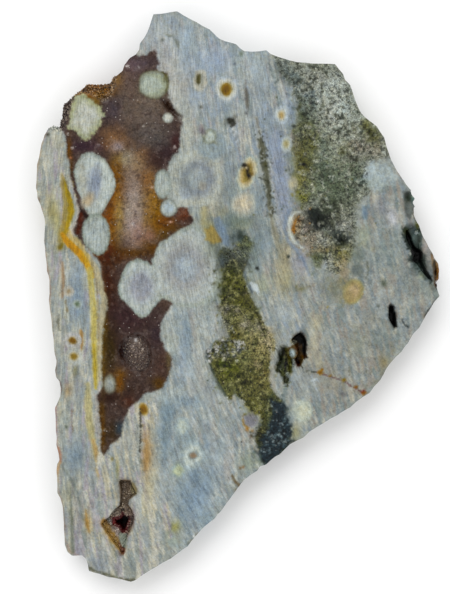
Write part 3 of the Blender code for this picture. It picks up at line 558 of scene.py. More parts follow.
brownZone = {
    "tints": [
        (-24.1, 37.7, 2.8, 3.4, "47404a"), (-19.7, 46.9, 4, 1.4, "5a4e54", 0.8, -6),
        (-21.1, 45.7, 2, 1.8, "66545c", 0.7), (-28.7, 42.1, 4, 1.2, "8a5614", 0.9, -10),
        (-32.1, 40.9, 2.8, 1, "8c6434", 0.9, -28), (-29.2, 40.3, 3.2, 0.8, "84540e", 0.8, 5),
        (-27.2, 40.9, 1.8, 1.2, "90601a", 0.8, 10), (-24.2, 43.3, 1.6, 1.8, "946e38", 0.9),
        (-18.1, 39.3, 4.4, 4, "70604e", 0.9), (-22.1, 42.5, 1.6, 3.6, "6e5a52", 0.7),
        (-22.5, 38.3, 1, 3.6, "6c6052", 0.7), (-19.7, 35.7, 3.2, 2.4, "6b5b4e"),
        (-30.7, 30.1, 4.4, 1.4, "3d2c36", 0.9), (-28.5, 38.5, 0.8, 2, "8a6818", 0.7, -25),
        (-33.9, 29.3, 0.7, 2.4, "6c4410", 0.8, -4), (-33.6, 26.3, 0.6, 1.8, "50300c"),
        (-24.7, 31.3, 2.8, 2.4, "96693c"), (-24.2, 29.9, 1.2, 1.2, "a99ca2", 0.9),
        (-23.7, 27.7, 1.6, 1.2, "7e6a3c", 0.7, 30), (-21.7, 27.7, 1.8, 1.6, "a59e88"),
        (-22.5, 26.7, 1, 1, "b0aa92", 0.6), (-19.1, 28.1, 2, 2, "90663e", 0.7),
        (-24.2, 24.9, 1.4, 2.8, "7e5414"), (-24.1, 20.3, 1.6, 4, "7c4404", 0.9, 10),
        (-26.1, 15.7, 1.6, 2.8, "7a3e02", 0.9, -30), (-25.2, 12.9, 1, 4, "8a5406", 0.9),
        (-24.1, 17.3, 0.8, 5.2, "94661e", 0.8, 4), (-21.2, 14.9, 2.6, 6.8, "a08a78", 0.9),
        (-20.9, 20.1, 1.4, 3.2, "ab9c92", 0.9), (-21.1, 24.3, 1.6, 2.4, "a38c78"),
        (-20.1, 26.3, 1.8, 1.6, "9a8464", 0.7), (-22.1, 16.9, 1, 2.4, "a99c8a", 0.7),
        (-20.9, 14.5, 1.6, 1.6, "ada09a"), (-19.5, 17.9, 1.2, 3.2, "a89a8c", 0.7),
        (-19.7, 12.7, 1.8, 2.4, "9c7c70"), (-23.7, 15.7, 0.8, 3.6, "9e8448"),
        (-17.2, 20.1, 1.6, 4.8, "97723a", 0.9), (-18.1, 23.3, 1.6, 2.4, "8c6238"),
        (-16.4, 16.9, 1.2, 3.6, "8e6212", 0.9), (-18.2, 15.7, 1, 4, "93703c"),
        (-15.7, 13.7, 1.8, 1.8, "7f5206", 0.9), (-14.5, 14.9, 1.8, 1.2, "854a12"),
        (-10.9, 16.5, 1.4, 1.6, "6c3820", 0.9), (-17.7, 12.3, 1.6, 1.6, "8a6658", 0.7),
        (-17.2, 9.7, 2, 1, "66400e", 0.8, -20), (-13.2, 13.7, 2.4, 1, "5c3c12", 0.7, -20),
        (-14.7, 12.1, 1.6, 0.8, "4c3a18", 0.6, -30), (-14.5, 28.9, 2.4, 2.6, "38282c", 0.9),
        (-16.1, 31.7, 4.8, 2.2, "55504c"), (-17.7, 33.3, 2.8, 1.6, "625a54", 0.7),
        (-12.5, 31.1, 1.2, 1.8, "3c2020"), (-16.2, 27.3, 1.8, 1.4, "3c2a26"),
        (-21.7, 8.7, 5.2, 1, "543208"), (-26.1, 9.3, 1.2, 1.8, "5c2e08", 0.9),
        (-26.9, 7.7, 1.4, 1.2, "4c2408", 0.9), (-24.1, 7.7, 1.8, 1.2, "4a2a14"),
        (-26.1, 2.9, 1.4, 5.2, "3e1f10", 0.9), (-25.1, -1.7, 1.2, 2, "35201a"),
        (-22.5, -4.3, 4.8, 2.8, "3d2a2c", 0.9), (-25.1, -6.7, 1.6, 3.2, "3a2a26"),
        (-26.7, -8.3, 0.7, 8, "57400e", 0.9), (-27.1, -11.1, 0.4, 6.8, "6a5014", 0.7),
        (-25.5, -10.7, 1.2, 4, "372b12", 0.9), (-22.9, -10.7, 1.2, 2, "160806", 0.9),
        (-20.1, -11.1, 2.2, 2.2, "66554a", 0.9), (-20.9, -9.7, 1.2, 1.2, "7c6e62", 0.7),
        (-16.4, -7.7, 1.8, 2.4, "3a2e34"), (-14.1, -1.1, 1.2, 1, "57463a", 0.9),
        (-15.1, -13.9, 1.6, 3.2, "4d3830", 0.9), (-13.9, -12.7, 0.6, 2.8, "66583a"),
        (-15.7, -17.5, 1.4, 1.2, "5c3e10", 0.8, -30), (-24.1, -15.7, 1.8, 1.2, "6e4a1c"),
        (-23.7, -17.5, 1, 1.8, "804e06", 0.9), (-21.2, -18.7, 2, 1.4, "3c2c24"),
        (-25.7, -20.3, 2, 1.2, "30201a", 0.9), (-22.1, -21.1, 1.2, 1, "4c2a1c"),
        (-27.5, -22.7, 0.6, 2, "4c3410"), (-27.1, -27.1, 0.6, 4, "5e3c04", 0.9),
        (-25.2, -27.1, 1.4, 2.4, "3b2d1a", 0.9), (-23.7, -26.3, 0.9, 1.6, "37454e", 0.9),
        (-17.7, 36.9, 3.4, 5.2, "6e6662", 0.4), (-20.5, -11.1, 1.2, 1.8, "80706a", 0.5, 10),
    ],
    "bands": [
        ([(-16.1, 40.1, 0.2), (-13.9, 38.1, 1.4), (-12.7, 36.9, 1.2), (-11.1, 35.9, 0.4)], "33221a", 0.4,
            0.85),
        ([(-23.9, 2.3, 0.4), (-23.5, -0.3, 0.5), (-22.1, -1.5, 0.4)], "2c1a10", 0.24, 0.7),
        ([(-27.5, 6.9, 0.4), (-27.1, 3.7, 0.5), (-26.5, 0.7, 0.5)], "6a4c34", 0.2, 0.6),
        ([(-31.7, 18.1, 0.3), (-31.1, 16.7, 0.6), (-30.1, 15.9, 0.6), (-29.5, 16.3, 0.2)], "241c1a", 0.18,
            0.9),
        ([(-31.5, 16.5, 0.8), (-31.7, 14.5, 1), (-32.1, 12.7, 0.8)], "4c2214", 0.28, 0.9),
        ([(-30.1, 9.7, 0.3), (-29.1, 8.5, 0.5), (-27.7, 7.9, 0.5)], "6a3408", 0.2, 0.8),
    ],
    "speckles": [
        (brownPatch, {"2a1c1c": 0.1, "8a7c74": 0.06}, 0.6, 71, 0.3),
    ],
    # the pale spots are painted glints on the brown chalcedony's grains, the white one on its small crystal pocket
    "spots": [
        (-20.5, -8.7, 0.3, 0.4, "f4f4f4", 0.9), (-21.1, -9.9, 0.3, 0.3, "b5a8a0"),
        (-19.1, -10.5, 0.2, 0.2, "d8cfc6"), (-19.7, -9.3, 0.2, 0.3, "c8bdb0", 0.7),
        (-22.2, 46.1, 0.3, 0.2, "e6e0da", 0.9), (-19.9, 45.9, 0.2, 0.2, "d0c8c2"),
        (-33.2, 29.7, 0.3, 0.2, "d9d2cc", 0.9), (-34.1, 32.5, 0.2, 0.2, "e0dcd4", 0.9),
        (-27.9, 30.3, 0.2, 0.2, "b8b0b4", 0.7), (-18.9, 34.1, 0.2, 0.2, "e2dcd4", 0.9),
        (-12.7, 29.9, 0.2, 0.3, "e8dcd4", 0.9), (-33.5, 27.7, 0.3, 0.2, "d88a5c", 0.9),
        (-21.1, 14.5, 0.3, 0.2, "e8e4e0", 0.9), (-17.2, 21.9, 0.3, 0.2, "e0c8b8", 0.9),
        (-13.5, 14.9, 0.3, 0.2, "e0b8a8", 0.9), (-26.7, -26.7, 0.2, 0.2, "cfc8bc"),
    ],
}

orbZone = {
    "patches": [
        (starOrb, "a4a880", 0.24, 0.32, 1, 0.4),
        ([(-32.2, 39.7), (-30.8, 39.8), (-28.1, 37.8), (-27.7, 36.9), (-27, 36.1), (-27.7, 35.7),
            (-27.7, 34.8), (-30.1, 31.8), (-31.5, 32.3), (-32, 33.1), (-33.9, 34.1), (-33.4, 35),
            (-33, 37.4)], "b2b59a", 0.48, 0.44, 1, 0.48),
        ([(-31.8, 38.8), (-30.8, 38.9), (-28.7, 37.3), (-27.9, 36.1), (-30.2, 32.8), (-33.1, 34.5)],
            "c1c4b8", 0.8, 0.44),
        (teardrop, "9aa39a", 0.14, 0.1),
        ([(-30.1, 28.3), (-29.2, 28.3), (-27, 27.2), (-25.4, 24.7), (-24.9, 23.2), (-24.9, 22),
            (-25.4, 20.7), (-27.4, 17.3), (-28.3, 16.4), (-29.4, 16.6), (-30.4, 18), (-30.6, 19.1),
            (-31.3, 20.2), (-31.9, 21.4), (-32.2, 23.2), (-32.4, 24.7), (-32.2, 25.9), (-31.7, 27),
            (-31, 27.9)], "bac3bd", 0.24, 0.16),
        (roundOrb, "8f9a8e", 0.16, 0.1),
        ([(-29.3, 15.9), (-28.4, 16.2), (-27.6, 15.9), (-26.7, 15.2), (-26.1, 13.9), (-25.9, 12.5),
            (-26, 11.1), (-26.5, 9.9), (-27.2, 9), (-28.1, 8.6), (-29.1, 9.2), (-30, 10.1), (-30.5, 10.9),
            (-30.9, 12.2), (-30.9, 13.4), (-30.5, 14.6)], "a9b3ad", 0.28, 0.16),
        (facedOrb, "9aa59c", 0.16, 0.12),
        ([(-21.2, 6.6), (-20, 6.9), (-18.5, 6.6), (-17.3, 5.7), (-16.4, 4.6), (-15.7, 3.1), (-15.3, 1.3),
            (-15.7, -0.1), (-16.6, -1.4), (-18.5, -3.5), (-19.4, -3.7), (-20.3, -3), (-22.1, -0.8),
            (-23.2, -0.1), (-23.6, 1.3), (-23.4, 2.8), (-22.1, 5.7)], "b5beb9", 0.28),
        (bigOrb, "a3aca2", 0.24),
        ([(-9.2, 13.6), (-7.9, 12.9), (-6.9, 11.8), (-6, 10.2), (-4.7, 6.8), (-4.5, 4.4), (-4.9, 2.1),
            (-5.8, 0.3), (-7.2, -0.8), (-9.4, -1.5), (-11.9, -1.1), (-13.7, -0.1), (-15.5, 0.7),
            (-16.2, 2.5), (-16.6, 4.4), (-16.6, 6.8), (-15.9, 8.8), (-15, 10.2), (-12.2, 12)], "b4bcb8",
            0.32, 0.28),
        (upperOrb, "b0b6ae", 0.4, 0.28),
    ],
    "orbs": [
        (-29.2, 22.5, 2.6, 4.8, -4, {0.55: "a3acb2", 0.8: "b0b8b6", 1: "b9c1ba"}, 0.48, 0.06, 0.8),
        (-28.5, 22.9, 1.2, 3.4, -4, {0.6: "8d98a8", 1: "9fa9b2"}, 0.48, 0.06, 0.9),
        (-30.1, 19.3, 1.2, 1.8, -35, {0.6: "b9a888", 1: "b3ad9a"}, 0.4, 0.06, 0.85),
        (-31.2, 23.7, 0.8, 3.6, 6, {1: "aeb0a2"}, 0.4, 0.06, 0.7),
        (-28.2, 12.1, 1.8, 2.8, 0, {1: "b0bab6"}, 0.6, 0.06, 0.7),
        (-19.5, 1.9, 4, 4.8, -5, {0.55: "9da3a8", 0.66: "b0b6b7", 0.8: "a9b1b0", 1: "b5bdb8"}, 0.32, 0.06, 0.85),
        (-19.5, 1.9, 1.8, 2.6, 0, {0.5: "94999f", 1: "a0a3aa"}, 0.48, 0.06, 0.85),
        (-10.5, 5.7, 6, 6.8, 0, {0.3: "a5b0b4", 0.42: "9ba3a7", 0.62: "9da09f", 0.8: "a9aeaa", 1: "b2b9b4"}, 0.4, 0.06, 0.9),
        (-10.5, 5.9, 1.6, 2, 0, {0.6: "b0bcbf", 1: "a0aab0"}, 0.4, 0.06, 0.85),
        (-8.1, 23.5, 5.2, 5.4, 0, {0.34: "a0acae", 0.6: "868e94", 0.78: "a4aaa6", 1: "b9bdb0"}, 0.48, 0.06, 0.95),
        (-8.2, 24.3, 1.2, 1.8, 0, {1: "acb4b4"}, 0.48, 0.06, 0.7),
        (-10.7, 20.5, 1.2, 1, -35, {1: "a0acb8"}, 0.4, 0.06, 0.8),
        (-7.2, 22.1, 0.8, 1, 0, {1: "a8a190"}, 0.4, 0.06, 0.7),
        (-16.9, 42.4, 3, 2.8, 0, {0.5: "aab4a6", 0.78: "a0a890", 0.93: "8c9080", 1: "66664c"}, 0.28, 0.1),
        (-18.1, 42.3, 1.4, 1.8, 0, {1: "b3bdb0"}, 0.52, 0.06, 0.8),
        (-14.1, 35.7, 1.1, 1, 0, {0.7: "c8ccc2", 1: "a5a89c"}),
        (-15.1, 22.5, 1.7, 3, 0, {0.6: "b4bdb6", 0.85: "a8b2aa", 1: "8c948a"}, 0.16, 0.05),
        (-13.9, 17.7, 1.7, 1.8, 0, {0.55: "abb9bc", 0.85: "aeb6b0", 1: "868e84"}),
        (-25.7, -17.5, 1.2, 1.9, 0, {0.45: "a5aaa2", 0.8: "94968a", 1: "767460"}, 0.32),
        (-11.2, -26.1, 1.6, 2, 0, {0.6: "bac6bc", 1: "9cacae"}, 0.36, 0.2),
        (-9.2, -31.9, 2.7, 2.9, 0, {0.2: "8c7860", 0.34: "93a09e", 0.7: "c0cbc4", 1: "9cabac"}, 0.32, 0.16),
        (-12.1, -34.7, 1.4, 1.6, 0, {0.6: "b4be9e", 1: "98a8a4"}, 0.36, 0.2),
        (1, 18.5, 2.4, 2.8, -20, {0.3: "cdc3a6", 0.7: "c3bda8", 1: "b0b4a8"}, 0.4),
        (2.5, -24.7, 1.8, 2.1, -20, {0.6: "85858c", 0.85: "9a9ca0", 1: "b8bcb0"}, 0.2, 0.12),
    ],
    "bands": [
        ([(2.1, -26.3, 0.4), (1.2, -25.7, 0.5), (0.9, -24.5, 0.4), (1.2, -23.3, 0.2)], "9a7a34", 0.16,
            0.85),
        ([(-8.5, 17.9, 0.3), (-9.2, 16.5, 0.5), (-8.5, 14.9, 0.5), (-7.1, 13.3, 0.4)], "acb1a6", 0.2, 0.8),
        ([(-32.2, 36.9, 0.2), (-31.9, 34.9, 0.3), (-31.7, 33.3, 0.2)], "8e9082", 0.14, 0.6),
        ([(-15.1, 44.9, 0.3), (-14.2, 43.9, 0.5), (-14.1, 42.1, 0.4), (-14.5, 40.9, 0.2)], "4c4a24", 0.16,
            0.9),
    ],
    "spots": [
        (-31.7, 36.1, 0.2, 0.6, "6f7a74", 0.7), (-14.5, 43.9, 0.4, 0.8, "6a6638", 0.7, -20),
        (2.6, -27.9, 0.3, 0.4, "3a2c14", 0.9), (2.8, -26.9, 0.3, 0.3, "8a5c1c"),
    ],
}

keyholeZone = {
    "patches": [
        (keyholeRing, "6a5a48", 0.18, 0.12),
    ],
    "tints": [
        (-22.7, -37.3, 1.2, 0.8, "574736", 0.9), (-22.7, -39.1, 1.2, 2.4, "5f5040", 0.9),
        (-20.9, -38.7, 0.6, 0.8, "8c8458", 0.9, -20), (-24.2, -43.3, 1, 0.8, "7c7064", 0.9),
        (-21.9, -43.9, 0.8, 1.6, "8a7464", 0.9), (-21.1, -44.3, 0.3, 1.6, "4c3c40", 0.9),
        (-26.9, -45.3, 0.6, 0.7, "9a6c20", 0.9, 20), (-26.1, -46.7, 0.6, 1, "9a7028", 0.9, -30),
        (-25.1, -48.3, 0.6, 1, "96702c", 0.9, -30), (-24.1, -49.7, 0.5, 0.8, "8f682c", 0.9, -25),
        (-23.5, -50.9, 0.5, 0.8, "6a5048", 0.9, -10), (-24.7, -46.9, 0.9, 0.9, "a89a98", 0.9, -30),
        (-24.1, -47.5, 0.6, 0.6, "b5a9a6"), (-23.1, -48.3, 0.7, 0.9, "8c8c74", 0.9, 8),
        (-22.9, -49.5, 0.5, 0.8, "8a8468", 0.8, 8),
    ],
    "bands": [
        ([(-22.1, -46.7, 0.2), (-22.2, -48.3, 0.3), (-22.7, -50.1, 0.2)], "6a5c5c", 0.12, 0.8),
        # this stroke and the next, pale pink, are painted highlights on the keyhole's crystals
        ([(-24.5, -43.9, 0.3), (-23.2, -43.9, 0.2)], "cdbfb6", 0.1, 0.85),
        ([(-22.7, -43.6, 0.2), (-22.1, -43.8, 0.2)], "d8cabc", 0.08, 0.85),
    ],
    "speckles": [
        (keyholeRing, {"2c2018": 0.1, "b0a090": 0.1}, 0.4, 73, 0.5),
    ],
}

# the keyhole's hole and its ledge: the hole's near-black reds are partly the stone's colour and partly painted shade of
# its depth
keyholeHole = {
    "patches": [
        ([(-27.4, -44.7), (-26.9, -44.3), (-24.2, -48.1), (-23.7, -48.9), (-23.1, -51.3), (-23.5, -51.3),
            (-25.7, -48.4), (-26.7, -46.7)], "9a7a40", 0.24),
        ([(-23.8, -48.9), (-23.4, -49.9), (-22.6, -50.5), (-22.9, -51.7), (-23.3, -51.4), (-24, -49.5)],
            "7a4c34", 0.16, 0.1),
        ([(-23.9, -47.3), (-22.2, -47.2), (-22.2, -48.9), (-22.6, -50.3), (-23.2, -50), (-23.7, -48.9)],
            "949c8c", 0.12, 0.08),
        ([(-25.9, -44.1), (-25.2, -44.7), (-25.1, -45.6), (-25.5, -45.7), (-26.4, -44.5)], "8a8c86", 0.12,
            0.08),
        ([(-21.2, -36.7), (-20.7, -37.5), (-20.2, -39), (-20.2, -39.5), (-21.1, -39.3), (-21.5, -38.7)],
            "7c7250", 0.12, 0.08),
        ([(-25.5, -44.1), (-23.7, -43.9), (-23.2, -42.8), (-22.7, -43.6), (-21.5, -43.9), (-21.6, -45.3),
            (-22.2, -47.4), (-23.3, -47.3), (-23.7, -46.6), (-25.2, -45.6)], "4c100c", 0.08, 0.06),
    ],
    "spots": [
        (-24.7, -44.9, 0.6, 0.5, "6c140e"), (-22.6, -44.5, 0.7, 0.8, "120404", 0.9),
        (-23, -42.6, 0.3, 0.3, "140c08", 0.9), (-21.7, -44.9, 0.2, 0.3, "b09888", 0.7),
        (-25.1, -46.9, 0.2, 0.2, "e0d4d0", 0.7), (-24.2, -46.5, 0.2, 0.2, "d8ccc8", 0.7),
        (-26.9, -44.9, 0.4, 0.4, "7a5428", 0.6), (-25.2, -47.5, 0.4, 0.8, "ac8640", 0.5, -34),
        (-23.9, -49.9, 0.3, 0.5, "a8884c", 0.6, -20),
    ],
}

upperZone = {
    "ragged": (0.8, 0.8),
    "streaks": [
        (rightGround, {"a3a8a2": 0.45, "8b9698": 0.35, "9a968c": 0.25, "b3b3a6": 0.16, "84908e": 0.12}, 0.6, 43, 1, 6, -80),
    ],
    "patches": [
        (upperMoss, "858a7c", 0.28, 0.48),
        (middleMoss, "5f5e34", 0.18, 0.24, 1, 0.6),
        ([(14.6, 16.7), (15.6, 17.5), (16.8, 16.7), (18.2, 16.1), (18.8, 14.5), (17.8, 13.5), (16, 13.9),
            (15, 15.1)], "080c0a", 0.28, 0.6, 1, 0.4),
        ([(19.2, 12.9), (20.6, 13.3), (21.8, 11.9), (21, 10.3), (20, 9.9), (19.4, 11.3)], "0c1210", 0.32,
            0.6, 1, 0.4),
        ([(20.6, 14.1), (22.6, 13.9), (22.8, 12.3), (21.6, 12.3)], "b4aea6", 0.32, 0.4, 0.8),
        ([(24.6, 18.3), (26, 18.1), (25.8, 15.5), (24.8, 15.5)], "7890a2", 0.32, 0.2, 0.8),
    ],
    "tints": [
        (9.2, 46.1, 1.6, 1.8, "626c68", 0.9), (10.4, 44.1, 1.4, 1.4, "5a6664", 0.9),
        (11.8, 42.7, 1, 2, "68746e"), (16.8, 45.7, 3.2, 1, "9a9e8c"), (16, 43.3, 2.8, 1.8, "8f928a"),
        (17.4, 41.3, 1.8, 1.6, "939a92"), (19.6, 42.5, 1.6, 1.2, "a3ada8"),
        (14, 39.7, 2, 1.6, "4f5c5e", 0.9), (15, 37.9, 1.8, 1.8, "52605e", 0.9),
        (13.2, 36.1, 1.2, 1.4, "3c4424", 0.9), (14, 34.1, 1.8, 1.2, "56561c", 0.9),
        (14.4, 32.9, 1.2, 1, "8f8f6c", 0.7), (15.6, 31.7, 1.2, 1.4, "565a28"),
        (13.6, 31.1, 1.2, 1.2, "6c6448"), (13, 29.3, 1.2, 1.6, "66604c"), (15, 30.1, 1.2, 1.6, "5c5c20"),
        (11.6, 30.9, 0.8, 1.6, "6a6456", 0.7), (12.4, 27.7, 1, 1, "54481a"),
        (12.8, 26.3, 1, 1, "33301a", 0.9), (14, 26.1, 1.4, 1.2, "5f5a30"), (12.2, 24.7, 1, 1.4, "7c7440"),
        (12, 22.5, 0.8, 1.6, "8a8244", 0.9), (14.6, 22.3, 1, 1, "76783a"),
        (17.2, 30.9, 1, 1.8, "48584e", 0.9), (17.4, 28.3, 1.2, 1.8, "5a7068"),
        (17.2, 25.7, 1.4, 1.4, "4e6058"), (17.9, 23.3, 1.6, 1.6, "46564e", 0.9),
        (19.6, 25.7, 1.4, 1.6, "5c6654"), (19.4, 31.7, 1.6, 3.2, "8f9482"),
        (18.9, 29.3, 1.4, 2.4, "8a917c"), (18.4, 36.9, 1.4, 2, "a39d98"),
        (21, 37.7, 1.4, 1.4, "a0b2b4", 0.9), (25.6, 34.5, 1, 1, "5e5c24", 0.9, -30),
        (26.4, 32.7, 1.8, 1.6, "4c4e22", 0.9), (27.6, 31.7, 1.2, 1.2, "55542c"),
        (23.4, 30.3, 1.6, 1.4, "7c7064"), (22.8, 28.3, 1.6, 1.2, "665e50"),
        (21, 29.3, 1.2, 1.6, "6c6c48", 0.7), (27, 29.1, 1.8, 1.4, "8c8676"), (23, 26.1, 1.4, 1.4, "5c664c"),
        (23.6, 24.3, 1.4, 1.6, "5a6450"), (24.8, 23.1, 0.8, 1, "4c5e58"), (19.6, 21.7, 2, 1.6, "55604c"),
        (16.4, 21.3, 1.6, 1.6, "6a7466"), (16, 20.3, 1, 1, "a3a89a"), (22, 20.9, 1.4, 1.2, "4c5644"),
        (18.8, 19.3, 1.6, 1, "3e4836"), (13, 20.1, 1, 1.2, "6c6c20", 0.9),
        (13.6, 14.3, 1.8, 2.8, "94867a", 0.9), (14.8, 11.7, 1.8, 1.8, "938772"),
        (18.4, 16.9, 1.8, 1.4, "5c6250"), (15.4, 16.7, 1.2, 0.8, "1c2420", 0.9),
        (15, 16.1, 0.8, 0.8, "10181c", 0.9), (15.8, 14.5, 1.2, 1, "0e1418", 0.9),
        (17.9, 17.3, 0.8, 0.6, "2c3224"), (19.8, 12.7, 1, 1, "2c3634", 0.9),
        (21, 12.1, 1, 0.8, "182224", 0.9), (20.6, 10.5, 0.6, 1, "1c2620", 0.9, -30),
        (17.6, 10.9, 1.2, 1, "b0b3ac"), (21, 14.9, 1.6, 1, "a8a69c"), (20.4, 13.7, 1, 0.8, "b8b8b4"),
        (22.4, 12.9, 1, 0.8, "b0b0a6", 0.7), (20, 16.1, 1.4, 1, "8a8870"), (21.6, 18.3, 1.4, 1.4, "7c806e"),
        (21.8, 10.1, 1.2, 0.8, "8c8e76", 0.7), (17.4, 9.3, 2.4, 0.8, "8c7c54"),
        (20.6, 8.9, 1.4, 1, "7c7430", 0.9), (21.2, 7.5, 1, 1.2, "74683a"),
        (15.6, 7.9, 1, 0.7, "4c5030", 0.9), (16.2, 6.9, 0.8, 1.2, "5e6846"),
        (17.6, 6.3, 1.2, 1.4, "a5aeae", 0.9), (20.4, 6.1, 1.2, 1.2, "94895e"),
        (21.2, 4.3, 1, 1.8, "9a8c74"), (21.6, 1.7, 1.2, 1.8, "8f8450", 0.9), (19.2, 1.3, 1, 1.6, "7f8474"),
        (12.6, 1.5, 1, 0.5, "6c6434", 0.9, 10), (-1.2, 5.7, 2, 1.6, "3c4038"),
        (-3.2, 6.9, 1, 1.2, "4a504c"), (-0.5, 8.5, 1, 1, "7c7c80"), (1, 8.9, 0.8, 1, "2c3020", 0.9),
        (0.4, 11.7, 0.8, 0.8, "1e2c30", 0.9), (1.6, 8.1, 1.2, 1.2, "6a6c6c"), (1, 6.7, 1, 1, "3c3c34"),
        (-0.9, 6.9, 1.4, 0.8, "25261c"), (-1.5, 4.5, 1.4, 1.6, "48480e"),
        (-0.2, 2.9, 1.2, 1, "7c7c48", 0.7), (-2.1, 2.5, 1, 1.6, "3a3e10"),
        (-0.5, 1.5, 0.8, 0.5, "15160c", 0.9), (-1.7, 0.3, 1.6, 1.6, "5a5a44", 0.7),
        (-2.9, 0.9, 0.4, 2, "2e3418", 0.7), (-0.2, -1.5, 1.6, 1, "4a4c10"),
        (-1.9, -2.7, 1.8, 0.8, "8e8a8a", 0.9, -4), (-0.5, -2.5, 1, 0.6, "a09a9a", 0.7),
        (-0.5, -5.9, 1.8, 2.2, "6e6c3c", 0.9), (-0.5, -7.7, 1.4, 0.8, "4a4410"),
        (1.4, -5.7, 1, 1.2, "a29a8e", 0.9), (2.8, -6.7, 1.4, 1.6, "8c8a6c"),
        (-2.5, -5.5, 0.8, 1.4, "8a8c82"), (-2.9, -7.5, 1, 1, "949690"), (3.6, -3.1, 0.8, 1, "4c4e28", 0.7),
        (2.8, -9.1, 1.8, 1.6, "8a8458"), (4.8, -10.7, 1.8, 1.8, "857c4a", 0.9),
        (5.6, -8.7, 1.6, 1.8, "a09468", 0.8, -30), (6.4, -9.7, 1.2, 1.2, "b3a886"),
        (6, -7.3, 1, 1.4, "b0a484", 0.8, -30), (4.2, -5.9, 0.8, 0.6, "b8b0a4", 0.7, -40),
        (-3.2, -13.5, 1.8, 1, "3c4610", 0.9), (-1.5, -13.9, 1.2, 1, "48500c", 0.9),
        (-2.5, -16.1, 1.6, 1.2, "5e6024"), (-2.1, -18.3, 1.4, 1.2, "5c6038"),
        (1.6, -13.1, 1.2, 1.4, "7a7c50"), (3.8, -13.5, 1, 1, "8f8468"), (4.8, -15.7, 1.4, 1.8, "7c703c"),
        (2.8, -22.3, 1.2, 0.8, "5f6028"), (4.8, -23.1, 1, 1, "5a5618"),
        (7.4, -21.5, 1.4, 1.2, "3c4638", 0.9), (8.3, -23.5, 1.6, 1.8, "2a3a3a", 0.9),
        (6, -23.7, 1, 1.4, "3c4220"), (9, -27.1, 1.4, 2.6, "202c34", 0.9),
        (6.8, -26.7, 1.6, 2.2, "2a342a", 0.9), (4.4, -27.9, 1, 1.8, "1e1e0c", 0.9),
        (5.2, -29.5, 1.2, 1.4, "2a3230", 0.9), (8.3, -29.9, 1.6, 1.4, "242a24", 0.9),
        (6, -31.1, 1.4, 1.6, "2c4648", 0.9), (5.6, -32.7, 1.2, 0.8, "1e3434", 0.9),
        (20, 38.1, 4.8, 4.4, "b0bcb4", 0.4), (13.6, 30.1, 2.2, 5.2, "464a20", 0.5),
        (13.6, 36.9, 1.8, 2.8, "42504c", 0.5), (16, 14.9, 1.8, 1.2, "0c100e"),
        (20.8, 11.1, 1.4, 1, "141a16", 0.8, -30), (18.4, 18.1, 2, 1, "343c2c", 0.7),
        (-1.2, 11.3, 1.6, 1.6, "56666e", 0.7), (0.4, 12.1, 1, 1.2, "28322e", 0.9),
        (1.8, 10.3, 1, 1.2, "46460f"), (-2.5, 8.1, 1.6, 1.6, "465254"), (-0.5, 6.9, 1.6, 1.4, "34362c"),
        (-0.7, 2.3, 2, 2.4, "40440c", 0.5), (0.4, -1.1, 1.8, 2, "4a4a1c", 0.5),
        (11.6, 14.1, 0.8, 2.2, "a88a5c"), (21.4, 23.7, 2.8, 5.2, "5c6c54", 0.3, -10),
        (16.8, 24.1, 2.8, 4.8, "465230", 0.3), (18.8, 38.5, 5.6, 4.8, "b8c0b4", 0.5),
        (19.6, 31.3, 3.2, 4.4, "a8ae9c", 0.4), (18.4, 14.9, 5.2, 3.2, "343c34", 0.4, -20),
        (12.4, 25.3, 1.6, 5.2, "6a6a2c", 0.4), (21.4, 8.9, 2.8, 1.6, "6c6c44", 0.5),
    ],
    "bands": [
        ([(3.6, 35.7, 0.3), (4, 34.1, 0.4), (4.4, 32.1, 0.6), (4.5, 30.3, 0.6)], "8b836c", 0.28, 0.75),
        ([(4.2, 32.5, 0.4), (4.8, 30.1, 0.8), (5, 27.7, 1), (5.8, 23.7, 0.8), (6.4, 16.5, 0.8)], "6b6b58",
            0.32, 0.9),
        ([(4.8, 28.7, 0.6), (5, 27.3, 0.8), (5.6, 25.7, 0.7)], "4a4a2c", 0.2, 0.85),
        ([(6.2, 18.3, 0.8), (7.2, 12.9, 1), (8.8, 6.9, 0.8)], "94917a", 0.32, 0.8),
        ([(-6.1, -10.7, 0.3), (-6.1, -12.3, 0.4), (-5.5, -13.9, 0.4), (-4.7, -15.9, 0.4),
            (-2.5, -19.9, 0.4)], "3c463c", 0.18, 0.85),
        ([(2.4, -0.3, 0.2), (3.4, -2.3, 0.3), (4.8, -6.7, 0.2), (5.8, -8.7, 0.2)], "33341c", 0.12, 0.9),
        ([(2.6, 1.7, 0.2), (3.6, 1.3, 0.5), (4.2, 0.3, 0.2)], "c5cdcd", 0.16, 0.8),
        ([(2.4, 2.7, 0.4), (3.2, 2.1, 1), (4, 0.9, 0.6)], "c0cccf", 0.2, 0.95),
        ([(1.2, 4.9, 0.3), (1.8, 2.9, 0.4), (2.8, 0.9, 0.3)], "5c6a74", 0.2, 0.8),
        ([(6.4, -10.7, 0.4), (7.2, -13.1, 0.6), (6.4, -16.7, 0.6), (7.6, -19.1, 0.4)], "a9a79c", 0.28, 0.8),
        ([(1.4, 41.7, 0.3), (1.8, 40.1, 0.6), (1.8, 38.5, 0.6), (2, 36.9, 0.2)], "5c5a50", 0.32, 0.8),
        ([(4.2, 32.9, 0.4), (4.8, 30.1, 1), (5, 27.7, 1.2), (5.6, 25.7, 1.2), (6.6, 16.1, 0.8)], "565846",
            0.36, 0.85, 0.32),
    ],
    "orbs": [
        (8.6, 36.3, 1.4, 1.9, 0, {0.35: "b8a066", 0.6: "c8c6ae", 1: "b8c4c8"}, 0.28),
        (9.6, 30.5, 1.1, 1.8, 0, {0.35: "a8a070", 0.65: "bcbea4", 1: "b0bcbe"}, 0.28),
        (11, 22.5, 1, 1.4, 0, {0.6: "b9b495", 1: "aaa892"}, 0.32, 0.06, 0.85),
        (-2.4, 41.5, 2.5, 2.7, 0, {0.5: "a89a60", 0.62: "c0c0ac", 0.82: "c8cdc6", 1: "a4b0b6"}, 0.24),
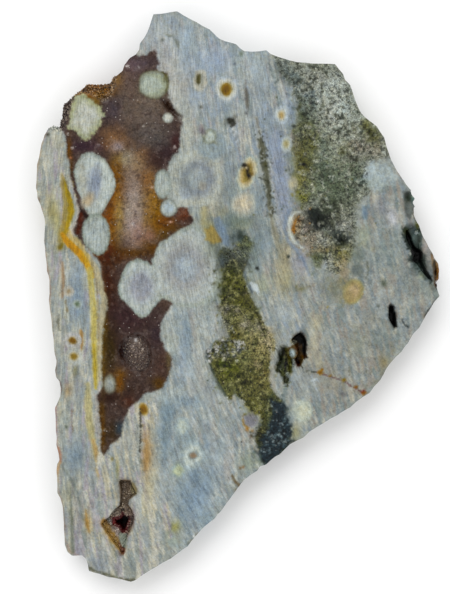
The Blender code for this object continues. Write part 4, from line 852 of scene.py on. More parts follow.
        (-2.4, 41.4, 1, 1.3, 0, {0.6: "6c5006", 1: "86681a"}),
        (-7.6, 43.1, 1.7, 2.2, -10, {0.45: "b0ad8c", 0.8: "c6cbc6", 1: "98a6aa"}, 0.24, 0.08),
        (-5.1, 30.3, 3.4, 3.4, 0, {0.8: "8c9ca0", 1: "a0aaa8"}, 0.52, 0.06, 0.7),
        (-5.8, 32, 1.4, 1.6, -30, {0.78: "b4c0b4", 0.9: "8a9484", 1: "6c705c"}),
        (2, 24.9, 2, 3.8, -24, {0.42: "94803c", 0.62: "b8a470", 0.84: "c6c3a6", 1: "a4b0a8"}, 0.22, 0.16),
        (23.8, 5.3, 1.4, 1.4, 0, {0.8: "6f7874", 1: "858c86"}, 0.2, 0.1),
        (23, 1, 2, 2.6, -25, {0.5: "b8a27a", 0.8: "ad9a66", 1: "9a925e"}, 0.32),
        (22.2, -0.1, 1, 1.2, 0, {1: "a8925a"}, 0.4, 0.06, 0.7),
    ],
    "speckles": [
        (druse, {"6c7274": 0.4, "b9bab8": 0.35, "d4d4d0": 0.1, "3c4440": 0.12}, 0.6, 81, 0.85),
        (upperMoss, {"4c5040": 0.18, "b4b7a8": 0.14, "1c2018": 0.07}, 0.68, 91, 0.6, 1, 0, 1.8),
        (middleMoss, {"33381c": 0.18, "9a9866": 0.12, "1c1e0e": 0.08}, 0.68, 95, 0.6, 1, 0, 0.8),
    ],
    "spots": [
        (1.8, -26.5, 0.4, 0.3, "a8701c", 0.9, -20), (17.4, 46.2, 0.3, 0.2, "2e3424", 0.9),
        (8.5, 44.9, 0.2, 0.3, "1c201c", 0.9), (12.2, 39.7, 0.3, 0.3, "22240c", 0.9),
        (12.2, 37.9, 0.4, 0.4, "2e3018"), (11.1, 34.1, 0.4, 0.2, "14181c", 0.9),
        (13, 26.4, 0.5, 0.3, "0c0c06", 0.9), (16, 34.5, 0.3, 0.3, "1c2414", 0.9),
        (23.8, 36.9, 0.4, 0.3, "22260e", 0.9, 30), (24.4, 30.1, 0.3, 0.2, "14120c", 0.9),
        (23.4, 27.3, 0.6, 0.2, "1c1c16", 0.9, -15), (21, 28.9, 0.4, 0.3, "2c2c08", 0.9),
        (14.8, 38.7, 0.4, 0.4, "1c2424", 0.7), (16, 39.1, 0.3, 0.2, "dcded8"),
        (14.8, 40.1, 0.3, 0.2, "141c20"), (26.4, 32.7, 0.5, 0.6, "2e2e10", 0.7),
        (29.4, 31.5, 0.4, 0.3, "a8aca4", 0.7), (25.6, 24.5, 0.4, 0.8, "b8c4c8", 0.8, -20),
        (25.7, 24.5, 0.2, 0.3, "1c2420", 0.9, -20), (14.8, 40.9, 0.4, 0.3, "3c484c", 0.6),
        (25.4, 33.9, 0.3, 0.3, "33300c"), (16.1, 14.6, 0.2, 0.3, "f0f0ee", 0.9),
        (12, 13.9, 0.2, 0.2, "33200c", 0.9), (12.2, 12.7, 0.2, 0.2, "2c1a10", 0.9),
        (11.9, 11.7, 0.2, 0.2, "14100c", 0.9), (12.1, 15.1, 0.2, 0.3, "3a200a", 0.9, 20),
        (14.2, 13.1, 0.2, 0.2, "2c2818"), (1.5, 26.1, 0.6, 0.3, "221c12", 0.9, 35),
        (1, 26.3, 0.3, 0.3, "1c160c", 0.9), (1.9, 25.1, 0.3, 0.6, "34280c", 0.9, -20),
        (2.1, 24.2, 0.3, 0.4, "141008", 0.9), (1.7, 25.7, 0.3, 0.2, "d9c9a0", 0.9, 40),
        (-8.2, 44.1, 0.3, 0.4, "5f5a34"), (-7.8, 43.9, 0.3, 0.6, "6a6432", 0.8, -10),
        (-8.1, 43.1, 0.4, 0.2, "55502a"), (-5.7, 31.1, 0.9, 0.3, "cfcfb4"),
        (-6.7, 31.9, 0.3, 1, "8a8c78", 0.7, 30), (-7.2, 33.1, 0.4, 0.8, "8a8084", 0.7, 40),
        (-1.7, 35.1, 0.7, 0.3, "5c5a4c", 0.9, 25), (-1.2, 34.5, 0.4, 0.6, "26241c", 0.9, -15),
        (-1.1, 33.5, 0.2, 0.6, "d0d8dc", 0.8, -25), (-0.7, 32.5, 0.2, 1, "ccd4d8", 0.8, -22),
        (-0.2, 31.3, 0.2, 0.8, "c4ccd0", 0.7, -22), (-1.9, 34.1, 0.2, 1, "cfd6d4", 0.7, -24),
        (3.9, 5.5, 0.3, 0.4, "0e100c", 0.9), (3.7, 5.7, 0.3, 0.2, "12140e", 0.9, 40),
        (-1.1, -5.7, 0.4, 0.2, "2a2608", 0.9, -10), (5.2, 27.5, 0.4, 0.3, "2c2c14", 0.9),
        (5.6, 26.5, 0.4, 0.4, "3c3a14", 0.7), (-2.7, -13.9, 0.4, 0.3, "181a08", 0.9, -20),
        (1, -17.1, 0.4, 0.3, "15170c", 0.9, 20), (0.6, -10.7, 0.6, 0.2, "1c2420", 0.9, 35),
        (-0.1, -10.5, 0.4, 0.2, "20282a"), (-0.2, -12.9, 0.4, 0.2, "e4e4dc", 0.9),
        (0.2, -19.9, 0.2, 0.5, "14201e", 0.9, -30), (-2.7, -12.3, 0.3, 0.2, "c9c8a4", 0.7),
    ],
}

rightZone = {
    "tints": [
        (26.8, 25.7, 1.4, 1.2, "a9b3b0"), (27.6, 22.5, 1.8, 1.2, "9aa8a2"),
        (28.8, 17.7, 1.6, 1.8, "8f949a", 0.7), (30.8, 15.7, 1, 1.8, "b5b6b8", 0.9, 10),
        (25.2, 12.1, 1.2, 2, "a5ad96", 0.9), (24, 7.9, 1.4, 1.4, "74807a", 0.9),
        (29.2, 2.7, 0.6, 0.8, "5f6654", 0.9, 30), (26, -4.3, 1.6, 1.4, "8a8c84", 0.7),
        (15.6, -5.5, 1.2, 1.8, "b9b69c", 0.9), (15.2, -9.7, 1, 3.2, "b5b39c", 0.9, -4),
        (23.6, -9.7, 1.6, 2.4, "8f9282", 0.7), (29.2, -13.1, 1.2, 1.4, "8f8560", 0.9, -30),
        (12.8, -16.3, 2, 1.4, "a3acac"), (11.4, -27.1, 1, 1.6, "98966c"), (10.6, -24.3, 0.8, 1.8, "93a3a4"),
        (12.2, -22.3, 1.4, 1.6, "bfc2ae"), (12.8, -23.9, 1.2, 1.4, "c3c4aa"),
        (29.4, 10.1, 3.6, 4.4, "7a8a86", 0.4), (36.4, 2.1, 2.8, 3.2, "7f8e8a", 0.4),
        (28.8, -8.3, 3.6, 3.6, "7c867c", 0.4), (19.4, -17.9, 3.6, 2.8, "857f70", 0.4),
        (31, 15.5, 0.8, 1.6, "c4c6c8", 0.8, 10), (33.4, 4.1, 3.6, 3.6, "7a8482", 0.3),
        (15.4, -13.9, 3.2, 2.8, "847f70", 0.3), (-0.9, 14.9, 4, 2, "6c7a70", 0.5),
        (2, 9.3, 2.4, 3.2, "74847e", 0.5), (-10.1, 23.7, 2.8, 3.2, "8c9694", 0.5),
        (-2.1, 22.1, 1.6, 3.2, "848e8c", 0.5), (-5.1, 10.7, 1.6, 3, "787f6c", 0.6, -20),
        (10.8, 1.3, 3.6, 3.2, "82887c", 0.4), (19.8, 1.3, 3.6, 3.2, "7c7e6c", 0.4),
    ],
    "bands": [
        ([(25.8, 6.9, 0.2), (26, 5.3, 0.3), (25.8, 3.9, 0.2)], "676a58", 0.18, 0.8),
        ([(32.8, -4.5, 0.2), (33.1, -5.5, 0.3), (34, -6.1, 0.2)], "30383a", 0.12, 0.9),
        ([(14.6, -15.9, 0.3), (15.4, -17.9, 0.3), (16.4, -20.7, 0.3)], "b0babf", 0.16, 0.7),
        ([(14.8, -16.7, 0.5), (15.6, -16.5, 0.4), (16.2, -16.9, 0.2)], "bcc9ce", 0.16, 0.8),
        ([(39.8, -0.7, 0.3), (38.8, -1.9, 0.4), (37.8, -3.1, 0.4), (37, -4.3, 0.3)], "2c2c26", 0.16, 0.9),
        ([(13.8, -14.7, 0.2), (14.6, -15, 0.3), (15.6, -15.1, 0.3)], "2e362a", 0.12, 0.9),
        ([(15.6, -15.1, 0.2), (21.2, -16.9, 0.2), (22.8, -18.1, 0.2), (25.4, -19.5, 0.3)], "6a4c4c", 0.12,
            0.85),
        ([(12.6, 17, 0.2), (11.2, 16.7, 0.5), (10.4, 15.7, 0.6), (10.1, 14.1, 0.6), (10.4, 12.3, 0.6),
            (11.2, 10.9, 0.5), (13.4, 9.3, 0.2)], "c6ccc2", 0.18, 0.95),
        ([(12.2, 16.1, 0.2), (11.6, 15.4, 0.5), (11.2, 14.3, 0.6), (11, 13.3, 0.6), (11.2, 12.5, 0.3)],
            "96621c", 0.2, 0.95, 0.2),
        ([(10.6, 17.5, 0.4), (9.5, 15.7, 0.6), (9.3, 13.3, 0.6), (10, 11.1, 0.6), (11.6, 9.3, 0.6),
            (13.2, 6.9, 0.6), (14.2, 4.3, 0.4)], "7f92a6", 0.32, 0.75),
        ([(-4.5, 12.7, 0.4), (-3.5, 11.3, 0.6)], "785a24", 0.2, 0.85),
        ([(-13.2, 46.5, 2.2), (-12.7, 41.3, 2.2), (-10.9, 36.9, 2.6), (-9.9, 32.3, 2.4), (-10.5, 27.7, 2)],
            "b8beb4", 0.8, 0.5, 0.6),
        ([(-19.7, -22.3, 0.2), (-19.5, -26.3, 0.2), (-19.7, -31.1, 0.2)], "3c3a34", 0.08, 0.85),
    ],
    "orbs": [
        (16.4, -15.2, 0.6, 0.5, 0, {0.6: "80580c", 1: "94742c"}, 0.14, 0.24),
        (16.8, -14.6, 0.3, 0.3, 0, {1: "946a14"}, 0.14),
        (18.4, -15.9, 0.4, 0.3, 20, {0.6: "845c10", 1: "8c7034"}, 0.12, 0.24),
        (21.1, -16.7, 0.5, 0.4, 20, {0.6: "786014", 1: "8c7a3c"}, 0.14, 0.24),
        (23.6, -18.1, 0.5, 0.3, 25, {0.6: "845410", 1: "8c6830"}, 0.12, 0.24),
        (25.1, -19.3, 0.6, 0.4, 30, {0.6: "845008", 1: "8c6428"}, 0.14, 0.24),
        (12.8, -22.9, 1.8, 2.1, 0, {0.5: "c9cdb6", 1: "b2bcb0"}, 0.52, 0.14, 0.9),
        (9, -3.1, 2.1, 2.1, 0, {0.5: "b2bab8", 1: "a2acac"}, 0.6, 0.14, 0.8),
        (9.2, -8.9, 1.6, 1.4, 0, {1: "b0b8b8"}, 0.6, 0.06, 0.5),
        (13, -22.9, 1.7, 1.9, 0, {0.6: "cdd1ba", 1: "bcc4b4"}, 0.36, 0.12),
        (-5.6, 31.9, 1.2, 1.4, -10, {0.72: "c2ccc0", 1: "8a9282"}, 0.18, 0.1),
        (-7.6, 43.2, 1.4, 2.3, -6, {0.6: "a2a496", 1: "bcbaaa"}, 0.24, 0.1, 0.85),
        (-7.9, 43.5, 0.5, 1, -10, {1: "57522c"}, 0.16, 0.25),
    ],
    "spots": [
        (25, -18.9, 0.5, 0.2, "6a0e04", 0.8, 30), (21, -19.5, 0.6, 0.4, "5c5c60", 0.8, -10),
        (28, -1.9, 0.3, 0.3, "4c544c"), (25.5, -5.3, 0.2, 0.3, "4c504c"),
        (29, 2.5, 0.3, 0.5, "525a48", 0.8, 30), (35.8, 13.9, 0.4, 0.5, "8a7a24", 0.9),
        (12.2, 15.2, 0.2, 0.3, "3c2006", 0.9, 20), (1.2, 26.4, 0.4, 0.3, "14100a", 0.9, 30),
        (1.9, 25.5, 0.3, 0.7, "1c1608", 0.9, -20), (2.1, 24.3, 0.4, 0.5, "100c06", 0.9),
        (2.8, 24.5, 0.3, 0.4, "5a4410"), (1.7, 25.7, 0.2, 0.2, "d9c9a0", 0.9, 40),
        (-5.8, 32.1, 0.9, 1, "c0ccc2"), (-7.2, 33.1, 0.5, 0.9, "7c7478", 0.8, 40),
        (-4.7, 30.8, 0.3, 0.6, "6c6c54", 0.7, 60), (-6.8, 31.5, 0.2, 0.8, "70745c", 0.8, -20),
        (-8.1, 43.9, 0.4, 0.7, "4c4620", 0.9, -10), (-1.5, 34.9, 0.5, 0.7, "2c2c26", 0.8, -30),
        (-1.9, 35.5, 0.5, 0.3, "4c4c44", 0.8, 20), (25.6, 24.5, 0.4, 0.8, "c0ccd0", 0.8, -20),
        (25.7, 24.5, 0.2, 0.4, "1c2420", 0.9, -20), (27, 25.1, 0.6, 0.4, "c0caca", 0.7, 20),
    ],
    "patches": [
        ([(6.4, -20.5), (9, -21.1), (9.8, -23.1), (10.6, -26.7), (10.2, -29.5), (7.8, -32.3), (6, -33.5),
            (4.8, -33.1), (4.2, -30.7), (4.8, -28.3), (6, -26.3), (7, -23.7)], "222e34", 0.48, 0.6, 1,
            0.52),
        ([(25.4, 25.9), (26.6, 26.9), (28.4, 26.9), (30.4, 25.7), (32, 24.1), (31, 22.3), (27.2, 21.3),
            (26, 23.3)], "aebcbc", 0.48, 0.6, 0.7, 0.48),
        ([(-6.7, 13.1), (-5.5, 14.3), (-4.2, 13.1), (-3.5, 11.1), (-4.9, 10.7), (-6.5, 11.3)], "9c8a4c",
            0.28, 0.32),
        ([(-5.1, 15.7), (-3.7, 16.1), (-1.9, 12.1), (-1.7, 10.1), (-3.1, 10.5), (-4.5, 13.3)], "74889c",
            0.32, 0.2, 0.75),
        ([(-2.2, 35.7), (-0.9, 35.5), (-0.6, 34.5), (-1.2, 33.7), (-1.9, 34.5)], "34352c", 0.14, 0.16),
    ],
    "speckles": [
        ([(6.4, -20.5), (9.8, -23.1), (10.6, -26.7), (10.2, -29.5), (7.8, -32.3), (4.8, -33.1),
            (4.2, -30.7), (4.8, -28.3), (7, -23.7)], {"5c7074": 0.14, "0a1010": 0.18, "8a9898": 0.04}, 0.52,
            97, 0.7),
        ([(3.8, 33.3), (5.6, 32.9), (6.8, 27.3), (7.2, 16.5), (5.6, 16.5), (4.4, 25.3)], {"2c2c1c": 0.14,
            "b0b6b0": 0.12}, 0.52, 99, 0.75),
    ],
}

# the groove on the right edge, its notch and the black slot: their near-black colours, and the dark blot at the notch,
# are partly painted shade in their depths and on the notch's wall
grooveZone = {
    "patches": [
        ([(33, 13.7), (34, 14.1), (35.1, 13.7), (36, 12.9), (36.6, 10.9), (38, 7.9), (38.6, 5.9),
            (39.2, 3.3), (38.6, 2.7), (37.4, 3.9), (35.6, 6.5), (34.1, 7.3), (35, 8.3), (33.1, 11.7)],
            "303c36", 0.32, 0.4, 1, 0.32),
        ([(33.1, 20.9), (34.8, 21.1), (36.1, 19.9), (35.4, 18.3), (34.4, 15.1), (33.4, 16.5)], "5f6664",
            0.2, 0.16),
        ([(34, 13.5), (36, 14.5), (37, 12.9), (37.1, 10.7), (37, 8.9), (35.6, 9.3), (34.6, 11.3)], "52605a",
            0.18, 0.16),
        ([(36.6, 12.9), (39.2, 8.1), (39.6, 5.7), (39, 2.5), (38, 4.1), (36.8, 9.7)], "8f8f88", 0.16, 0.12),
        ([(33, 13.9), (34, 14.1), (35, 13.5), (35.6, 12.5), (36, 11.1), (37.6, 8.1), (39, 3.5), (38.6, 2.5),
            (37.4, 3.5), (34.1, 7.3), (34.6, 8.5), (33.6, 10.1), (33.1, 11.7)], "27322c", 0.4, 0.44, 1,
            0.36),
        (grooveLine, "1c241e", 0.32, 0.44, 0.8, 0.36),
        (blackSlot, "0c0e0d", 0.24, 0.16),
        ([(38.6, 8.5), (40.4, 6.1), (40.8, 4.3), (40.4, 2.7), (39.8, 1.7), (39.2, 2.3), (39.2, 4.1),
            (38.8, 6.1)], "7a5226", 0.14, 0.1),
        ([(34.6, 9.3), (35.4, 9.8), (36.4, 9.6), (36.9, 8.9), (36.8, 7.9), (36.2, 6.9), (35.4, 6.6),
            (34.6, 7.3), (34.9, 8.1)], "020404", 0.2),
        ([(35.6, 6.5), (36.4, 6.8), (38, 4.1), (37.6, 3.5), (36.4, 4.5)], "54625c", 0.24, 0.2, 0.75),
    ],
    "tints": [
        (34, 19.9, 0.6, 1, "3a3e38", 0.8, 20), (35.1, 19.9, 0.6, 0.8, "7f8c80"),
        (34.4, 17.7, 0.6, 1, "7f857c"), (35.6, 16.5, 0.5, 1.2, "54564c", 0.7),
        (35.4, 12.9, 0.6, 1, "4c6060"), (35.1, 11.3, 0.6, 1, "52686a", 0.8, -10),
        (36, 10.5, 0.5, 1, "3c4844"), (34.4, 14.1, 0.8, 0.8, "50585c"), (36.1, 12.1, 0.4, 0.8, "263028"),
        (37.4, 9.3, 0.5, 1.4, "a3a198", 0.8, -20), (38, 6.9, 0.5, 1.4, "8a8c88", 0.7, -10),
        (38.4, 4.9, 0.5, 1.4, "7f8a90", 0.8, -10), (39.4, 7.9, 0.4, 1, "c3b294", 0.9, -35),
        (40, 6.7, 0.4, 0.8, "b09a78", 0.8, -35), (39.2, 5.7, 0.3, 1.6, "3c3224", 0.9),
        (39.6, 2.3, 0.4, 0.6, "2a2014", 0.9, 10), (38.8, 1.7, 0.6, 0.8, "6a6a5c", 0.7, 20),
    ],
    "bands": [
        ([(35.9, 19.7, 0.3), (36, 18.7, 0.3), (35.6, 17.5, 0.3)], "101412", 0.12, 0.95),
        ([(36, 17.1, 0.2), (36.1, 14.9, 0.3), (36.1, 13.7, 0.3)], "9a8a3c", 0.14, 0.7),
        ([(36.4, 13.5, 0.2), (36.8, 12.9, 0.4), (37, 12.1, 0.2)], "101816", 0.12, 0.9),
        ([(34, 7.7, 0.2), (35.1, 7.5, 0.3), (36, 6.9, 0.3)], "1c2420", 0.14, 0.8),
        ([(37, 7.3, 0.2), (37.8, 5.3, 0.3), (38.6, 3.3, 0.3)], "0c0e0e", 0.12, 0.95),
        ([(33.9, 13.3, 0.3), (34, 11.9, 0.7), (34.7, 10.7, 0.8), (35.1, 9.5, 0.8)], "0c120e", 0.18, 0.95,
            0.2),
        ([(36.4, 7.1, 0.4), (37.4, 5.3, 0.4), (38.4, 3.5, 0.2)], "060a0a", 0.14, 1, 0.08),
        ([(35.2, 17.7, 0.3), (35.5, 15.5, 0.3), (36, 13.5, 0.2)], "1c241c", 0.12, 0.85, 0.08),
        ([(35.8, 19.9, 0.3), (35.6, 18.3, 0.2)], "060c0c", 0.1, 0.95, 0.06),
    ],
    "spots": [
        (34, 19.7, 0.7, 0.8, "1c2818"), (33.6, 18.3, 0.6, 1, "4c544c", 0.6),
        (35, 19.5, 0.5, 0.8, "4c6c64", 0.7), (35.4, 20, 0.3, 0.2, "cfdcd4", 0.9),
        (35, 20, 0.2, 0.2, "c0d0c4"), (35.6, 19.4, 0.2, 0.2, "b4c4bc", 0.7),
        (33.5, 13.1, 0.5, 0.6, "2a3010", 0.9), (34.6, 13.3, 0.6, 0.8, "4c5854", 0.6),
        (35.2, 11.7, 0.5, 0.8, "54645e", 0.7, -20), (35.8, 14.1, 0.3, 0.8, "4c4c14", 0.9, 10),
        # the pale green specks at 36.3, 12.6 and 36.9, 12.5 are painted glints in the groove
        (36.6, 13, 0.3, 0.4, "060a0a", 0.9), (36.3, 12.6, 0.2, 0.3, "b0c4b8"),
        (36.9, 12.5, 0.2, 0.2, "a0b4a8", 0.7), (36.1, 11.1, 0.3, 0.4, "141c10"),
        (37.5, 9.9, 0.5, 1, "a39a94", 0.7, -20), (34, 7.5, 0.8, 0.2, "4c5654", 0.7, 14),
        (35.4, 5.7, 0.8, 1, "3c4c4a", 0.6), (36.6, 4.1, 0.8, 0.6, "8c9470", 0.5, -20),
        (38.1, 5.7, 0.6, 1.6, "7c7f79", 0.6, -12), (39.2, 6.9, 0.2, 1.2, "1c1c04", 0.8, -16),
        (39.5, 4.7, 0.2, 1.4, "0c0804", 0.9, 6), (40.1, 5.3, 0.2, 1.4, "a07030"),
        (40.2, 3.5, 0.2, 0.8, "6a2c08", 0.8, 10), (40.4, 6.7, 0.3, 1, "b39a7c", 0.8, -20),
        (39.8, 3.9, 0.2, 0.8, "c09454", 0.6), (39.7, 2.5, 0.3, 0.6, "1c0804", 0.9),
    ],
}

# the black crescent and the green pocket beside it: their near-black colours are partly painted shade in these deep
# hollows
pocketZone = {
    "patches": [
        (blackCrescent, "1a120c", 0.12, 0.08, 1, 0.4),
        (greenPocket, "363a1c", 0.14, 0.28, 1, 0.4),
        ([(11.2, -9.5), (11.9, -9.2), (12.7, -9.3), (13, -10.3), (12.9, -11.5), (13.1, -12.3), (12.6, -14),
            (11.9, -14), (11.2, -12.3), (10.6, -12.3), (10.4, -13.1), (9.7, -13.5), (9.3, -11.9),
            (9.8, -10.2)], "5a4a26", 0.12, 0.12),
        ([(12.2, -7.3), (12.7, -7.2), (13.2, -7.9), (13.7, -8.9), (13.6, -10.5), (13.2, -11.5),
            (13.7, -12.3), (13.2, -12.7), (12.9, -11.9), (13, -10.5), (12.7, -9.4), (11.8, -9.1),
            (11.2, -8.5)], "060404", 0.1, 0.1),
        ([(7.6, -9.5), (9.1, -9.5), (9.2, -10.3), (7.4, -14.5), (6.9, -13.1), (7.2, -10.9)], "9ca29c", 0.16,
            0.16),
        ([(10.2, -8.8), (11, -8.6), (11.6, -8.9), (11.8, -9.4), (11, -9.6), (10.4, -9.4)], "a3a48c", 0.1,
            0.08),
    ],
    "speckles": [
        (greenPocket, {"060804": 0.3, "9a9c66": 0.2}, 0.3, 83, 0.9, 2.4, -74),
        (blackCrescent, {"000000": 0.2, "6a4a20": 0.12}, 0.3, 85, 0.7),
    ],
    "tints": [
        (13, -9.7, 0.5, 2, "040404", 0.9, 4), (12.4, -7.9, 0.8, 0.6, "060606", 0.9),
        (11.8, -10.3, 0.6, 1.2, "4c2c14", 0.9), (12.8, -11.9, 0.6, 0.5, "8a5c1c", 0.8, -30),
        (12, -13.3, 0.4, 0.6, "3c1208", 0.9), (9, -11.1, 0.5, 1, "14140c", 0.9),
        (9.6, -10.7, 0.3, 0.8, "5a5428"), (8.6, -12.7, 0.4, 1.2, "20281c", 0.8, 8),
        (9.6, -13.1, 0.3, 1.4, "12140a", 0.9), (10.2, -13.1, 0.3, 1.4, "4c4c14"),
        (9, -14.3, 0.4, 1, "4c5430"), (10.2, -14.9, 0.5, 0.8, "4c4c20"), (8.2, -14.3, 0.4, 0.8, "4c5450"),
        (9.2, -16.7, 0.3, 0.8, "6a6c54", 0.7), (9.6, -15.1, 0.2, 0.8, "8a8c6c", 0.6),
        (12.6, -9.9, 0.2, 0.5, "8c6c44", 0.9), (11.8, -12.9, 0.3, 0.5, "1c0c04", 0.9),
        (8.3, -11.9, 0.3, 1, "0c100a", 0.9, 14), (9.4, -13.5, 0.2, 1.2, "0a0c06", 0.9),
        (9.2, -16.3, 0.2, 0.6, "14180a"),
    ],
    "orbs": [
        (10.8, -11.3, 0.6, 0.9, 10, {0.7: "a3b3b6", 1: "8c9a94"}, 0.12),
        (11.1, -9, 0.7, 0.3, 0, {1: "a6a790"}, 0.1),
        (10, -15.7, 0.4, 0.7, 20, {1: "a3aeb0"}, 0.16, 0.06, 0.7),
    ],
    "bands": [
        ([(12.7, -14, 0.2), (13.6, -15.1, 0.2)], "34342a", 0.1, 0.9),
    ],
}

mossy = [
    (upperMoss, None, 0.4, 0.4, 0.8),
    (middleMoss, None, 0.28, 0.2, 0.9),
    (greenPocket, None, 0.12, 0.08),
    (crystalEdge, None, 0.2, 0.08),
]

glassy = [
    (brownPatch, None, 0.2, 0.12),
    ([(38.6, 8.5), (40.4, 6.1), (40.8, 4.3), (40.4, 2.7), (39.8, 1.7), (39.2, 2.3), (39.2, 4.1),
        (38.8, 6.1)], None, 0.12, 0.08),
]


def paintZone(stone, zone):
    # a zone's kinds of mark are laid in the order in which they are written
    stone.ragged = zone.get("ragged", (0.35, 1.6))
    lay = {"tints": stone.tint, "spots": stone.tint, "streaks": stone.speckle, "speckles": stone.speckle,
           "patches": stone.patch, "bands": stone.band, "orbs": stone.orb}
    for kind, marks in zone.items():
        if kind != "ragged":
            for mark in marks:
                lay[kind](*mark)


def paintStone(x, y, onFace=True):
    # the pockets' colours, whose near-black parts are partly painted shade in their depths, are laid only where a place
    # is on the sawn face
    stone = Painter(x, y)
    everywhere = np.arange(len(x))
    # pale chalcedony, its clouds drawn out along the saw lines
    wide = streaks(x, y, 4.5, 16, 1, 3)
    stone.colour[:] = rgb("9ca39c")
    stone.lay(everywhere, 0.55 * smooth(-0.1, 1, wide), "8b989e")
    stone.lay(everywhere, 0.5 * smooth(0.1, 1.1, -wide), "aeb1a6")
    stone.lay(everywhere, 0.35 * smooth(0, 1, cloud(x, y, 7, 4)), "8d969c")
    for zone in (paleZone, leftZone, lowZone):
        paintZone(stone, zone)
    # brown chalcedony, tinted inside its own edge
    pale = stone.colour.copy()
    at, cover = stone.patch(brownPatch, "4c3d37", 0.26, 0.24, seed=9)
    paintZone(stone, brownZone)
    brown = np.zeros(len(x))
    brown[at] = cover
    stone.colour = pale + (stone.colour - pale) * brown[:, None]
    stone.grain = brown
    for zone in (orbZone, upperZone, rightZone):
        paintZone(stone, zone)
    stone.open &= onFace
    for zone in (keyholeZone, keyholeHole, grooveZone, pocketZone):
        paintZone(stone, zone)
    stone.open[:] = True
    for patch in mossy:
        at, cover = stone.patch(*patch)
        stone.moss[at] = np.maximum(stone.moss[at], cover)
    for patch in glassy:
        at, cover = stone.patch(*patch)
        stone.gloss[at] = np.maximum(stone.gloss[at], cover)
    return stone


# Light and camera

studio = {
    "floor": 0.78,
    "sky": 1.33,             # the light from all sides
    "overhead": 0.4,         # and from straight above, where the camera is
    "key": 1.3,
    "keyFrom": (-0.3, 0.8, 0.85),
    "keyWidth": 46,          # degrees across
    "cameraHeight": 297,     # above the sawn face
    "aim": (-2.65, -0.1),
}


# Crystals in the keyhole, in the brown pocket and on the upper left rim

crystals = {
    "keyhole_crystals": {"perSquareMm": 9, "smallest": 0.14, "largest": 0.36, "lean": 34, "seed": 4},
    "pocket_crystals": {"perSquareMm": 9, "smallest": 0.14, "largest": 0.34, "lean": 40, "seed": 9},
}
rimCrystals = {"perSquareMm": 14, "smallest": 0.15, "largest": 0.42, "lean": 42, "seed": 12}


# The slab's fine mesh

stoneMesh = {
    "faceSpacing": 0.33,     # between the vertices of the sawn face
    "fineSpacing": 0.2,      # in the pockets and on the crystal rim
    "backSpacing": 0.7,      # and of the face that it lies on
    "wallLevels": 13,
    "fracture": 0.16,        # how deep the broken edges are rough
    "pocketRoughness": 0.22,
    "wornRims": 0.5,         # how far the worn pockets' rims are rounded
    "crystalEdge": 0.5,      # how deep the stone is worn where crystals stand on its rim
    "porosity": 0.09,        # depth of the pores in the green patches
}


def solidOf(name):
    # a merged copy of a CAD node, in millimetres
    solid = bmesh.new()
    solid.from_mesh(frame["nodes"][name].data)
    bmesh.ops.remove_doubles(solid, verts=solid.verts, dist=1e-6)
    bmesh.ops.scale(solid, vec=(1 / mm,) * 3, verts=solid.verts)
    solid.normal_update()
    return solid


def evenly(points, step):
    # the same closed line with its points a step apart
    points = np.array(points)
    sides = np.hypot(*(np.roll(points, -1, 0) - points).T)
    travelled = np.concatenate([[0], np.cumsum(sides)])
    wanted = np.linspace(0, travelled[-1], int(travelled[-1] / step), endpoint=False)
    closed = np.vstack([points, points[:1]])
    return np.column_stack([np.interp(wanted, travelled, closed[:, axis]) for axis in (0, 1)])


def hexagonal(points, step, margin):
    # a grid of triangles' corners inside an outline
    low, high = points.min(0) - step, points.max(0) + step
    rows = np.arange(low[1], high[1], step * 0.866)
    columns = np.arange(low[0], high[0], step)
    x = (columns[None, :] + 0.5 * step * (np.arange(len(rows)) % 2)[:, None]).ravel()
    y = np.repeat(rows, len(columns))
    return np.column_stack([x, y])[toOutline(x, y, [tuple(p) for p in points]) < -margin]


def outermost(tree, x, y, levels):
    # where a level line from outside, aimed at the slab's axis, meets the solid
    reach = []
    far = 100
    away = math.hypot(x, y)
    for z in levels:
        start = Vector((x / away * far, y / away * far, z))
        hit = tree.ray_cast(start, Vector((-x, -y, 0)).normalized())[0]
        reach.append(hit.xy.length if hit else 0)
    return reach


def pocketRims(solid):
    # the CAD edges where the sawn face breaks into its pockets and chips
    def sawn(face):
        return face.normal.z > 0.999 and face.calc_center_median().z > thickness - 0.01
    lines = []
    for edge in solid.edges:
        if len(edge.link_faces) == 2 and sawn(edge.link_faces[0]) != sawn(edge.link_faces[1]):
            lines.append([tuple(corner.co.xy) for corner in edge.verts])
    return lines


def triangulated(points, edges):
    made, _, faces, origin, _, _ = delaunay_2d_cdt([Vector(p) for p in points], edges, [], 1, 1e-6)
    place = {source: number for number, sources in enumerate(origin) for source in sources}
    return np.array([tuple(p) for p in made]), faces, place


def ring(start, count):
    return [(start + number, start + (number + 1) % count) for number in range(count)]


def crustTop(crusts, x, y):
    # the height of a pocket's crust at or close beside a place, or nothing
    highest = 0
    for besideX, besideY in nearby(x, y, 0.42):
        for tree in crusts:
            hit = tree.ray_cast(Vector((besideX, besideY, thickness)), Vector((0, 0, -1)))[0]
            highest = max(highest, hit.z if hit else 0)
    return highest


def nearby(x, y, reach):
    yield x, y
    for number in range(8):
        turn = number * math.pi / 4
        yield x + reach * math.cos(turn), y + reach * math.sin(turn)


def isCrisp(x, y):
    # the pockets whose rims are sharp; the others' are worn
    return np.any([toOutline(x, y, outline) < 0.6 for outline in (blackCrescent, keyholeRing, blackSlot, grooveLine)], 0)


